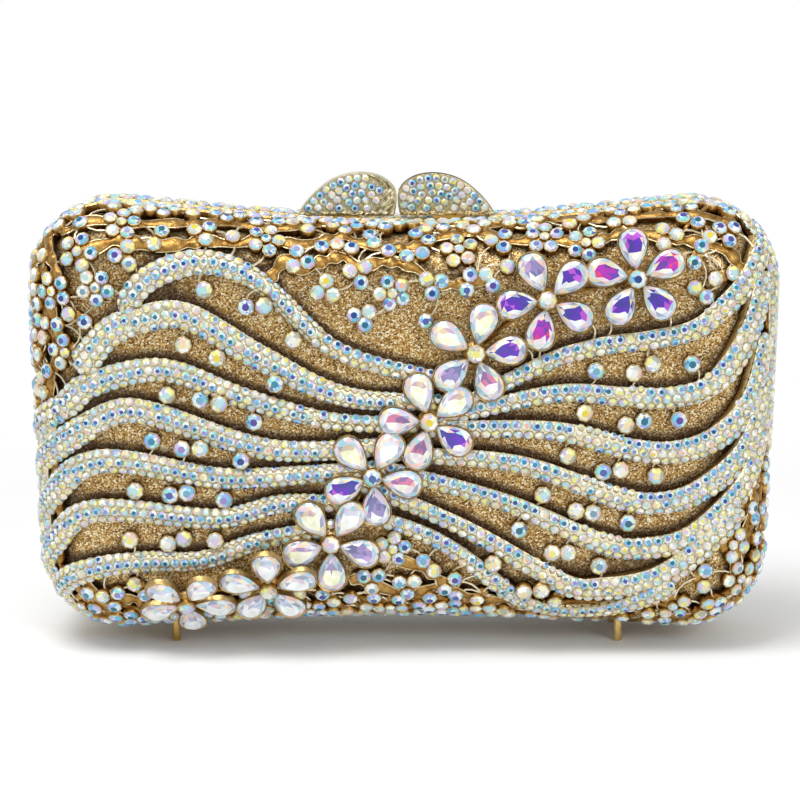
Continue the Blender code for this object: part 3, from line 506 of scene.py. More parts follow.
@dataclass(frozen=True)
class PhotoView:
    """Where the picture is taken from, and the way back from its pixels to the case."""

    elevation: float = math.radians(10)
    distance: float = 650 * MM
    focal_pixels: float = 2332.0
    centre_pixels: tuple[float, float] = (403.5, 408.0)
    frame_pixels: int = 800
    target_height: float = 64 * MM
    sensor: float = 36.0

    # The search for a pixel's place: tries, the miss that is near enough, how far a try moves, and
    # how far past the case's edge it starts
    tries: int = 40
    near_pixels: float = 0.1
    move_share: float = 0.8
    longest_move: float = 4 * MM
    widest_share: float = 1.05

    def project(self, points: np.ndarray) -> np.ndarray:
        """Pixels at which places in the frame show."""
        y, z = points[..., 1], points[..., 2] - self.target_height
        cos, sin = math.cos(self.elevation), math.sin(self.elevation)
        depth = self.distance + y * cos - z * sin
        return np.stack((
            self.centre_pixels[0] + points[..., 0] / depth * self.focal_pixels,
            self.centre_pixels[1] - (y * sin + z * cos) / depth * self.focal_pixels), -1)

    def plan_place(self, form: CaseForm, pixel: tuple[float, float], lift: float) -> np.ndarray:
        """Find the place on the plan that shows at a pixel.

        Args:
            form: the case.
            pixel: the pixel in the photograph's 800 by 800 frame.
            lift: how far over the case the place lies.

        Returns:
            The place on the plan.
        """
        want = np.array(pixel, float)
        scale = self.distance / self.focal_pixels
        high = form.half_size * self.widest_share
        here = np.clip((want - self.centre_pixels) * (scale, -scale), -high, high)
        for _ in range(self.tries):
            miss = want - self.project(form.place(here, lift))
            if np.hypot(*miss) < self.near_pixels:
                break
            slope = np.stack([
                (self.project(form.place(here + step, lift)) - self.project(form.place(here, lift)))
                / DIFFERENCE_STEP for step in np.eye(2) * DIFFERENCE_STEP], -1)
            move = np.linalg.lstsq(slope, miss, rcond=1e-3)[0] * self.move_share
            here = here + move * min(1.0, self.longest_move / max(np.hypot(*move), 1e-9))
        return here

    def add_camera(self) -> None:
        """Add the camera and make it the scene's."""
        data = bpy.data.cameras.new("photo_camera")
        camera = new_object("photo_camera", data)
        back = Vector((0, -math.cos(self.elevation), math.sin(self.elevation)))
        camera.location = Vector((0, 0, self.target_height)) + back * self.distance
        camera.rotation_euler = (-back).to_track_quat("-Z", "Y").to_euler()
        data.sensor_width = self.sensor
        data.lens = self.focal_pixels / self.frame_pixels * self.sensor
        middle = self.frame_pixels / 2
        data.shift_x = (middle - self.centre_pixels[0]) / self.frame_pixels
        data.shift_y = (self.centre_pixels[1] - middle) / self.frame_pixels
        data.clip_start = 0.01
        data.clip_end = 20
        bpy.context.scene.camera = camera


# Meshes and pieces


class Half(Enum):
    """The two halves of the case, and how far each is turned about the upright axis."""

    FRONT = 0.0
    BACK = math.pi

    @property
    def word(self) -> str:
        """The half's name in lower case."""
        return self.name.lower()

    @property
    def body(self) -> str:
        """The half's body in the frame."""
        return self.word + "_half"

    @property
    def clasp(self) -> str:
        """The body of the half's clasp leaf."""
        return self.word + "_clasp"


def mesh_of(name: str, points: np.ndarray, faces: list, smooth: bool = False) -> bpy.types.Mesh:
    """Make a mesh from points and faces.

    Args:
        name: the mesh's name.
        points: places, as rows.
        faces: rows of point numbers.
        smooth: whether its faces are shaded smooth.

    Returns:
        The mesh.
    """
    mesh = bpy.data.meshes.new(name)
    mesh.from_pydata([tuple(point) for point in points], [], [tuple(face) for face in faces])
    mesh.update()
    if smooth:
        mesh.shade_smooth()
    return mesh


def store(mesh: bpy.types.Mesh, key: str, values: list | np.ndarray, kind: str = "FLOAT",
          domain: str = "POINT") -> None:
    """Keep a value of each point or face of a mesh as an attribute.

    Args:
        mesh: the mesh.
        key: the attribute's name.
        values: one value, vector or colour for each point or face.
        kind: Blender's name for the attribute's type.
        domain: POINT or FACE.
    """
    word = {"FLOAT": "value", "FLOAT_VECTOR": "vector", "FLOAT_COLOR": "color"}[kind]
    layer = mesh.attributes.new(key, kind, domain)
    layer.data.foreach_set(word, np.array(values, np.float32).ravel())


def turned_rings(profile: list | tuple, sides: int) -> np.ndarray:
    """Points of rings about the Z axis.

    Args:
        profile: each ring's radius and height and, if it is turned, its turn.
        sides: points in each ring.

    Returns:
        The points, as rows.
    """
    rings = []
    for radius, height, *turn in profile:
        angles = np.arange(sides) * math.tau / sides + sum(turn)
        ring = (radius * np.cos(angles), radius * np.sin(angles), np.full(sides, height))
        rings.append(np.stack(ring, -1))
    return np.vstack(rings)


def moved(points: np.ndarray, move: Matrix) -> np.ndarray:
    """Points moved by a matrix."""
    return np.array([move @ Vector(point) for point in points])


def grid_faces(rows: int, columns: int, closed: bool = True, looped: bool = False,
               capped: bool = False) -> list:
    """Faces between neighbouring rows of points.

    Args:
        rows: how many rows there are.
        columns: points in each row.
        closed: whether each row closes on itself.
        looped: whether the last row joins the first.
        capped: whether the first and last rows are filled.

    Returns:
        The faces as rows of point numbers.
    """
    faces = []
    for row in range(rows if looped else rows - 1):
        low, high = row * columns, (row + 1) % rows * columns
        for here in range(columns if closed else columns - 1):
            after = (here + 1) % columns
            faces.append((low + here, low + after, high + after, high + here))
    if capped:
        faces.append(tuple(reversed(range(columns))))
        faces.append(tuple(range((rows - 1) * columns, rows * columns)))
    return faces


def outward(mesh: bpy.types.Mesh, weld: float = 0.0) -> bpy.types.Mesh:
    """Turn a closed mesh's faces outwards.

    Args:
        mesh: the mesh.
        weld: how near points are made one first, if at all.

    Returns:
        The same mesh.
    """
    shape = bmesh.new()
    shape.from_mesh(mesh)
    if weld:
        bmesh.ops.remove_doubles(shape, verts=shape.verts, dist=weld)
    bmesh.ops.recalc_face_normals(shape, faces=shape.faces)
    shape.to_mesh(mesh)
    shape.free()
    return mesh


def finish_piece(name: str, mesh: bpy.types.Mesh, material: bpy.types.Material, half: Half,
                 body: str, replaces: tuple[str, ...] = ()) -> bpy.types.Object:
    """Put a mesh that is drawn for the front half in the scene as a piece of either half.

    Args:
        name: the piece's name, after the half's word.
        mesh: the mesh as it lies on the front half.
        material: its finish.
        half: the half that it belongs to.
        body: the body that it rides on.
        replaces: the CAD nodes that it stands for.

    Returns:
        The piece.
    """
    mesh = mesh.copy()
    mesh.transform(Matrix.Rotation(half.value, 4, "Z"))
    mesh.materials.clear()
    mesh.materials.append(material)
    piece = new_object(half.word + "_" + name, mesh)
    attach(piece, body)
    if replaces:
        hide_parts(*replaces)
    return piece


@dataclass
class Shape:
    """Points and faces of a mesh in the making, with each point's lift over the case."""

    points: list = field(default_factory=list)
    faces: list = field(default_factory=list)
    lifts: list = field(default_factory=list)
    count: int = 0

    def add(self, points: np.ndarray, faces: list, lifts: np.ndarray | float) -> None:
        """Add points and faces, numbered from zero, and their lifts."""
        self.points.append(points)
        self.faces += [tuple(number + self.count for number in face) for face in faces]
        self.lifts.append(np.broadcast_to(np.asarray(lifts, float), len(points)))
        self.count += len(points)

    def mesh(self, name: str, sharp: float = 40.0) -> bpy.types.Mesh:
        """Make the mesh, shaded smooth but for its sharp edges, with its lifts as an attribute."""
        mesh = outward(mesh_of(name, np.vstack(self.points), self.faces, smooth=True))
        mesh.set_sharp_from_angle(angle=math.radians(sharp))
        store(mesh, "lift", np.concatenate(self.lifts))
        return mesh


# Stones set in their places by geometry nodes


@dataclass(frozen=True)
class ChatonCut:
    """A round chaton of radius one: girdle, lower and upper crown facets and a table.

    The facets of one quarter of the crown share a tone, give or take a little.
    """

    sides: int = 8
    quarters: int = 4
    girdle: float = 0.16
    break_radius: float = 0.80
    break_height: float = 0.40
    table_radius: float = 0.46
    table_height: float = 0.58
    tone_spread: float = 0.09
    seed: int = 5

    def mesh(self) -> bpy.types.Mesh:
        """Make the stone, with its facets' tones and its table marked."""
        n = self.sides
        profile = ((1.0, -self.girdle), (1.0, self.girdle),
                   (self.break_radius, self.break_height, math.pi / n),
                   (self.table_radius, self.table_height))
        chances = np.random.default_rng(self.seed)
        faces, tones = [], []
        for here in range(n):
            after = (here + 1) % n
            faces.append((here, after, n + after, n + here))
            faces.append((n + here, n + after, 2 * n + here))
            faces.append((n + after, 2 * n + after, 2 * n + here))
            faces.append((2 * n + here, 3 * n + after, 3 * n + here))
            faces.append((2 * n + here, 2 * n + after, 3 * n + after))
            quarter = here * self.quarters // n / self.quarters
            tones += [-1.0] + list(quarter + chances.uniform(0, self.tone_spread, 4))
        faces.append(tuple(3 * n + here for here in range(n)))
        tones.append(0.0)
        mesh = mesh_of("chaton", turned_rings(profile, n), faces)
        store(mesh, "facet", tones, domain="FACE")
        store(mesh, "table", [0.0] * (len(faces) - 1) + [1.0], domain="FACE")
        return mesh


@dataclass(frozen=True)
class CupCut:
    """The thin ring of metal round a chaton of radius one, open below."""

    tone_lift: float
    sides: int = 8
    outer: float = 1.13
    inner: float = 0.98
    top: float = 0.16
    foot: float = -0.9
    shoulder: float = 0.6
    bevel: float = 0.04
    taper: float = 0.06
    tone_shares: tuple = (0.3, 0.75, 1.0, 0.25, 0.1)

    def mesh(self) -> bpy.types.Mesh:
        """Make the ring: its brim as bright as metal at the tone's lift, its foot and inside darker, as
        painted shade.
        """
        profile = ((self.outer, self.foot), (self.outer, self.top * self.shoulder),
                   (self.outer - self.bevel, self.top), (self.inner, self.top),
                   (self.inner - self.taper, -self.top))
        faces = grid_faces(len(profile), self.sides)
        mesh = mesh_of("cup", turned_rings(profile, self.sides), faces, smooth=True)
        store(mesh, "lift", np.repeat(self.tone_shares, self.sides) * self.tone_lift)
        return mesh


class Setter:
    """Geometry nodes that set one small shape at each point of a cloud, turned to its normal."""

    def __init__(self) -> None:
        """Build the node tree once for every cloud."""
        tree = bpy.data.node_groups.new("set_in_place", "GeometryNodeTree")
        sockets = (("Points", "INPUT", "Geometry"), ("Shape", "INPUT", "Object"),
                   ("Finish", "INPUT", "Material"), ("Pieces", "OUTPUT", "Geometry"))
        keys = [tree.interface.new_socket(name=name, in_out=way, socket_type="NodeSocket" + kind).identifier
                for name, way, kind in sockets]
        self.shape, self.finish = keys[1:3]
        ins = add_node(tree, "NodeGroupInput")
        out = add_node(tree, "NodeGroupOutput")
        named = {key: add_node(tree, "GeometryNodeInputNamedAttribute", {"data_type": kind}, {"Name": key})
                 for key, kind in (("radius", "FLOAT"), ("out", "FLOAT_VECTOR"), ("spin", "FLOAT"))}
        facing = add_node(tree, "FunctionNodeAlignRotationToVector", {"axis": "Z"}, {
            "Vector": named["out"].outputs["Attribute"]})
        spin = add_node(tree, "FunctionNodeAxisAngleToRotation", {}, {
            "Axis": (0, 0, 1), "Angle": named["spin"].outputs["Attribute"]})
        turned = add_node(tree, "FunctionNodeRotateRotation", {"rotation_space": "LOCAL"}, {
            "Rotation": facing.outputs[0], "Rotate By": spin.outputs[0]})
        shape = add_node(tree, "GeometryNodeObjectInfo", {}, {"Object": ins.outputs["Shape"]})
        on_points = add_node(tree, "GeometryNodeInstanceOnPoints", {}, {
            "Points": ins.outputs["Points"], "Instance": shape.outputs["Geometry"],
            "Rotation": turned.outputs[0], "Scale": named["radius"].outputs["Attribute"]})
        real = add_node(tree, "GeometryNodeRealizeInstances", {}, {"Geometry": on_points.outputs[0]})
        dress = add_node(tree, "GeometryNodeSetMaterial", {}, {
            "Geometry": real.outputs[0], "Material": ins.outputs["Finish"]})
        feed(tree, out, {"Pieces": dress.outputs[0]})
        self.tree = tree

    def run(self, name: str, cloud: "StoneCloud", shape: bpy.types.Mesh,
            material: bpy.types.Material) -> bpy.types.Mesh:
        """Set a shape at every point of a cloud.

        Args:
            name: the new mesh's name.
            cloud: where the shapes go.
            shape: the small shape, of radius one, standing on its Z axis.
            material: the finish of the result.

        Returns:
            One plain mesh of all the shapes.
        """
        holder = new_object(name + "_points", cloud.mesh(name + "_points"))
        sample = new_object(name + "_shape", shape)
        change = holder.modifiers.new("Set", "NODES")
        change.node_group = self.tree
        change[self.shape] = sample
        change[self.finish] = material
        bpy.context.view_layer.update()
        ready = holder.evaluated_get(bpy.context.evaluated_depsgraph_get())
        mesh = bpy.data.meshes.new_from_object(ready)
        mesh.name = name
        for thing in (holder, sample):
            bpy.data.objects.remove(thing, do_unlink=True)
        return mesh


class StoneCloud:
    """Places for small shapes, each with its normal, radius and chances, kept clear of each other."""

    def __init__(self, cell: float, seed: int) -> None:
        """Start an empty cloud.

        Args:
            cell: no less than twice the largest radius that it will hold.
            seed: the seed of its chances.
        """
        self.cell = cell
        self.chances = np.random.default_rng(seed)
        self.rows: list[tuple] = []
        self.cells: dict[tuple, list[int]] = {}

    def key(self, point: tuple) -> tuple[int, ...]:
        """The cell that a place lies in."""
        return tuple(math.floor(value / self.cell) for value in point)

    def is_free(self, point: tuple, radius: float, closeness: float) -> bool:
        """Whether a stone fits there.

        Args:
            point: its place.
            radius: its radius.
            closeness: the least distance to another as a share of their radii's sum.

        Returns:
            True if nothing in the cloud is too near.
        """
        for near in product(*((number - 1, number, number + 1) for number in self.key(point))):
            for index in self.cells.get(near, ()):
                other = self.rows[index]
                if math.dist(point, other[0]) < (radius + other[2]) * closeness:
                    return False
        return True

    def add(self, point: np.ndarray, out: np.ndarray, radius: float, reflection_share: float,
            closeness: float = 0.0, stone: float | None = None) -> bool:
        """Add a stone if it fits, and say whether it did.

        Args:
            point: its place.
            out: its direction.
            radius: its radius.
            reflection_share: how often such a stone is dark.
            closeness: the least distance to another as a share of their radii's sum.
            stone: its chance, or none to draw one.

        Returns:
            True if it was added.
        """
        point = tuple(float(value) for value in point)
        if closeness and not self.is_free(point, radius, closeness):
            return False
        self.cells.setdefault(self.key(point), []).append(len(self.rows))
        chance = self.chances.random() if stone is None else stone
        dark = float(self.chances.random() < reflection_share)
        self.rows.append((point, tuple(out), radius, self.chances.random() * math.tau, chance, dark))
        return True

    def mesh(self, name: str) -> bpy.types.Mesh:
        """The cloud as points with attributes."""
        mesh = mesh_of(name, [row[0] for row in self.rows], [])
        for column, key in ((2, "radius"), (3, "spin"), (4, "stone"), (5, "dark")):
            store(mesh, key, [row[column] for row in self.rows])
        store(mesh, "out", [row[1] for row in self.rows], "FLOAT_VECTOR")
        return mesh


# The openwork


def tube(line: np.ndarray, radius: float, sides: int = 5) -> tuple[np.ndarray, list]:
    """A closed tube along a line.

    Args:
        line: the places that it follows, as rows.
        radius: its radius.
        sides: how many sides it has.

    Returns:
        Its points and faces.
    """
    turns = (np.arange(sides) * math.tau / sides)[:, None]
    ahead = unit(np.gradient(line, axis=0))
    off_line = (0.3, -0.5, 0.8)
    aside = np.cross(ahead[0], off_line)
    rings = []
    for here, way in zip(line, ahead):
        aside = unit(aside - way * (aside @ way))
        rings.append(here + radius * (np.cos(turns) * aside + np.sin(turns) * np.cross(way, aside)))
    return np.vstack(rings), grid_faces(len(line), sides, capped=True)


def run_lengths(line: np.ndarray) -> np.ndarray:
    """The length of a line up to each of its places."""
    return np.concatenate(((0,), np.cumsum(np.linalg.norm(np.diff(line, axis=0), axis=1))))


class Relief:
    """A map of the plan that holds how high the waves stand over the case."""

    def __init__(self, form: CaseForm, cell: float = 0.5 * MM, margin: float = 22 * MM,
                 cover: float = 0.3 * MM) -> None:
        """Start with a bare case.

        Args:
            form: the case.
            cell: the side of one cell of the map.
            margin: how far the map runs past half the width and half the height.
            cover: how much higher than a thing a wave stands to hide it.
        """
        self.cell = cell
        self.cover = cover
        self.corner = -form.half_size - margin
        self.lifts = np.zeros(np.ceil(-2 * self.corner / cell).astype(int))
        self.owners = np.full(self.lifts.shape, -1)

    def cells(self, plan: np.ndarray) -> tuple[np.ndarray, np.ndarray]:
        """The map's cells at places on the plan."""
        found = ((plan - self.corner) / self.cell).astype(int)
        found = np.clip(found, 0, np.array(self.lifts.shape) - 1)
        return found[..., 0], found[..., 1]

    def rise(self, plan: np.ndarray, lift: np.ndarray, owner: int) -> None:
        """Raise the map to a wave's lifts at places on the plan, and note whose they are."""
        cells = self.cells(plan)
        np.maximum.at(self.lifts, cells, lift)
        tops = lift >= self.lifts[cells]
        self.owners[cells[0][tops], cells[1][tops]] = owner

    def hides(self, plan: np.ndarray, lift: np.ndarray | float, owner: int = -1) -> np.ndarray:
        """Whether something at places on the plan would lie under another wave."""
        cells = self.cells(plan)
        return (self.lifts[cells] > lift + self.cover) & (self.owners[cells] != owner)

    def crowd(self, plan: np.ndarray, reach: float, standing: float) -> np.ndarray:
        """How much of the plan round each place is covered.

        Args:
            plan: the places.
            reach: how far round each is looked at.
            standing: the lift from which a cell counts as covered.

        Returns:
            For each place, a share from 0 to 1.
        """
        covered = (self.lifts > standing).astype(float)
        width = 2 * round(reach / self.cell / 2) + 1
        for axis in (0, 1, 0, 1):
            covered = np.apply_along_axis(np.convolve, axis, covered, np.full(width, 1 / width), "same")
        return covered[self.cells(plan)]


@dataclass
class Wave:
    """One raised wave of the openwork, domed across, from its outer end to the flowers.

    Its widths at the outer end, the middle and the flower end, its crest and its drops on both
    sides give its section. A ledge widens its foot on the upper side near the outer end, and
    lumps make a branch knotty.
    """

    form: CaseForm
    shares: tuple
    width_shares: tuple[float, float, float]
    is_left: bool
    full_width: float = 7.5 * MM
    crest_share: float = 0.5
    upper_drop: float = 1.6 * MM
    lower_drop: float = 2.0 * MM
    crest_lift: float = 3.5 * MM
    foot_lift: float = 0.8 * MM
    ledge: float = 0.0
    lumps: float = 0.0
    lump_length: float = 1.1 * MM
    tone: float = 1.0
    # Between these shares across the dome, stones get a painted dark reflection in their tables
    reflection_rows: tuple[float, float] = (0.0, 0.0)
    end_share: float = 0.035
    count: int = 96
    dome_steps: int = 8
    number: int = 0

    # The blunt tips, the lumps, the steps over which normals are found, the ledge, and how finely
    # the wave is mapped
    blunt_share = 0.06
    lump_rate = 2.7
    station_step = 0.2
    angle_step = 0.05
    ledge_stations = (0, 0.1, 0.4, 0.6)
    ledge_shares = (0.4, 1, 0.6, 0)
    ledge_least = 0.2 * MM
    ledge_tone = 0.9 * MM
    map_steps = 6
    map_rows = 31

    # Rows of stones: lengths in stone radii, and where across the dome the first row lies
    row_width = 1.9
    row_room = 1.96
    fit_bounds = (0.9, 1.07)
    first_places = (2.04, 1.0)
    stone_pitch = 2.08
    first_row = 0.45
    section_points = 41
    row_closeness = 0.87
    # How often a stone gets a painted dark reflection in its table, in those rows and elsewhere
    reflection_row_share = 0.82
    pale_row_share = 0.08

    # Small stones between the rows: how finely places are tried
    fill_steps = 1.6
    fill_rows = 12
    fill_inset = 0.3
    fill_closeness = 0.94
    fill_reflection_share = 0.1

    def __post_init__(self) -> None:
        """Work out the centre line, the upper side, the widths and the crest at each station."""
        line = np.array([self.form.plan_place(pair) for pair in self.shares])
        self.centre = self.form.smooth_path(line, self.count)
        ahead = np.gradient(self.centre, axis=0)
        sign = 1 if self.is_left else -1
        self.upper = unit(np.stack((-ahead[:, 1], ahead[:, 0]), -1)) * sign
        along = np.linspace(0, 1, self.count)
        runs = run_lengths(self.centre) / self.lump_length
        lump = self.lumps * np.sin(runs + 2 * np.sin(runs / self.lump_rate))
        tip = np.clip(along / self.end_share, self.blunt_share, 1)
        ended = np.sqrt(np.clip(1 - (1 - tip) ** 2, 0, 1))
        self.width = np.interp(along, (0, 0.5, 1), self.width_shares) * self.full_width * (1 + lump) * ended
        self.crests = self.crest_lift * (1 + lump / 3)
        self.ledges = self.ledge * np.interp(along, self.ledge_stations, self.ledge_shares)

    def spots(self, station: np.ndarray, angle: np.ndarray) -> tuple[np.ndarray, np.ndarray]:
        """Places on the plan and lifts of places on the dome.

        Args:
            station: places along the wave, as station numbers that may lie between two.
            angle: from 0 at the upper edge to half a turn at the lower one.

        Returns:
            Places on the plan and their lifts over the case.
        """
        numbers = np.arange(self.count)
        rows = (*self.centre.T, *self.upper.T, self.width, self.crests)
        s, t, up_s, up_t, width, crest = (np.interp(station, numbers, row) for row in rows)
        is_upper = angle < math.pi / 2
        reach = np.where(is_upper, self.crest_share, 1 - self.crest_share) * width
        offset = width * (0.5 - self.crest_share) + reach * np.cos(angle)
        drop = np.where(is_upper, self.upper_drop, self.lower_drop)
        return np.stack((s + up_s * offset, t + up_t * offset), -1), crest - drop * (1 - np.sin(angle))

    def surface(self, station: np.ndarray, angle: np.ndarray) -> np.ndarray:
        """Places on the dome in the frame."""
        return self.form.place(*self.spots(station, angle))

    def normals(self, station: np.ndarray, angle: np.ndarray) -> np.ndarray:
        """Outward normals of the dome."""
        step = self.station_step
        along = self.surface(station + step, angle) - self.surface(station - step, angle)
        low, high = (np.clip(angle + side * self.angle_step, 0, math.pi) for side in (-1, 1))
        out = unit(np.cross(self.surface(station, high) - self.surface(station, low), along))
        sign = np.sign(np.sum(out * self.form.normal(self.spots(station, angle)[0]), -1, keepdims=True))
        return out * sign

    def build(self, shape: Shape) -> None:
        """Add the wave's dome, walls and underside to a shape."""
        angles = np.linspace(0, math.pi, self.dome_steps + 1)
        stations = np.arange(self.count, dtype=float)
        grid_station, grid_angle = np.meshgrid(stations, angles, indexing="ij")
        plan, lift = self.spots(grid_station, grid_angle)
        half = self.width[:, None] / 2
        feet = np.stack((self.centre - self.upper * half,
                         self.centre + self.upper * (half + self.ledges[:, None])), 1)
        rings = np.concatenate((self.form.place(plan, lift), self.form.place(feet, self.foot_lift)), 1)
        upper_tone = self.foot_lift + (self.ledges > self.ledge_least) * self.ledge_tone
        tones = np.column_stack((lift * self.tone, np.full(self.count, self.foot_lift), upper_tone))
        shape.add(rings.reshape(-1, 3), grid_faces(self.count, rings.shape[1], capped=True), tones.ravel())

    def add_lips(self, shape: Shape, radius: float, inset: float, tone: float) -> None:
        """Add a smooth raised lip along both edges of the dome."""
        numbers = np.arange(self.count, dtype=float)
        for angle in (inset, math.pi - inset):
            shape.add(*tube(self.surface(numbers, np.full(self.count, angle)), radius), tone)

    def raise_map(self, relief: Relief) -> None:
        """Put the wave on the map of the plan."""
        stations = np.linspace(0, self.count - 1, self.count * self.map_steps)
        angles = np.linspace(0, math.pi, self.map_rows)
        relief.rise(*self.spots(*np.meshgrid(stations, angles, indexing="ij")), self.number)

    def set_rows(self, cloud: StoneCloud, relief: Relief, radius: float, sink: float) -> None:
        """Set rows of stones along the dome, as many as its width takes.

        Args:
            cloud: what the stones go into.
            relief: where other waves stand higher, no stone is set.
            radius: the stones' radius.
            sink: how deep their girdles lie under the dome's surface.
        """
        angles = np.linspace(0, math.pi, self.section_points)
        tables = [run_lengths(self.surface(np.full(self.section_points, float(station)), angles))
                  for station in range(self.count)]
        whole = np.array([runs[-1] for runs in tables])
        rows = np.maximum(1, np.round(whole / (radius * self.row_width))).astype(int)
        start = 0
        while start < self.count - 1:
            stop = start + 1
            while stop + 1 < self.count and rows[stop + 1] == rows[start]:
                stop += 1
            numbers = np.arange(start, stop + 1, dtype=float)
            fit = np.mean(whole[start:stop + 1]) / rows[start] / self.row_room
            fit = float(np.clip(fit, *(bound * radius for bound in self.fit_bounds)))
            shares = (np.arange(rows[start]) + 0.5) / rows[start]
            for row in np.argsort(np.abs(shares - self.first_row), kind="stable"):
                share = shares[row]
                angle = np.array([np.interp(runs[-1] * share, runs, angles)
                                  for runs in tables[start:stop + 1]])
                runs = run_lengths(self.surface(numbers, angle))
                places = np.arange(fit * self.first_places[row % 2], runs[-1], fit * self.stone_pitch)
                station = np.interp(places, runs, numbers)
                is_reflecting = self.reflection_rows[0] < share < self.reflection_rows[1]
                self.try_stones(cloud, relief, station, np.interp(station, numbers, angle), fit, sink,
                                self.row_closeness, self.reflection_row_share if is_reflecting else self.pale_row_share)
            start = stop

    def fill(self, cloud: StoneCloud, relief: Relief, radii: tuple[float, ...], sink: float) -> None:
        """Fill what the rows leave bare with smaller stones, the largest first."""
        stations = np.linspace(1, self.count - 2, int(self.count * self.fill_steps))
        angles = np.linspace(self.fill_inset, math.pi - self.fill_inset, self.fill_rows)
        station, angle = (grid.ravel() for grid in np.meshgrid(stations, angles, indexing="ij"))
        for radius in radii:
            self.try_stones(cloud, relief, station, angle, radius, sink, self.fill_closeness,
                            self.fill_reflection_share)

    def try_stones(self, cloud: StoneCloud, relief: Relief, station: np.ndarray, angle: np.ndarray,
                   radius: float, sink: float, closeness: float, reflection_share: float) -> None:
        """Set stones at places on the dome that no higher wave covers and no other stone fills."""
        plan, lift = self.spots(station, angle)
        points, outs = self.surface(station, angle), self.normals(station, angle)
        covered = relief.hides(plan, lift, self.number)
        for point, out, hidden in zip(points, outs, covered):
            if not hidden:
                cloud.add(point - out * sink, out, radius, reflection_share, closeness)


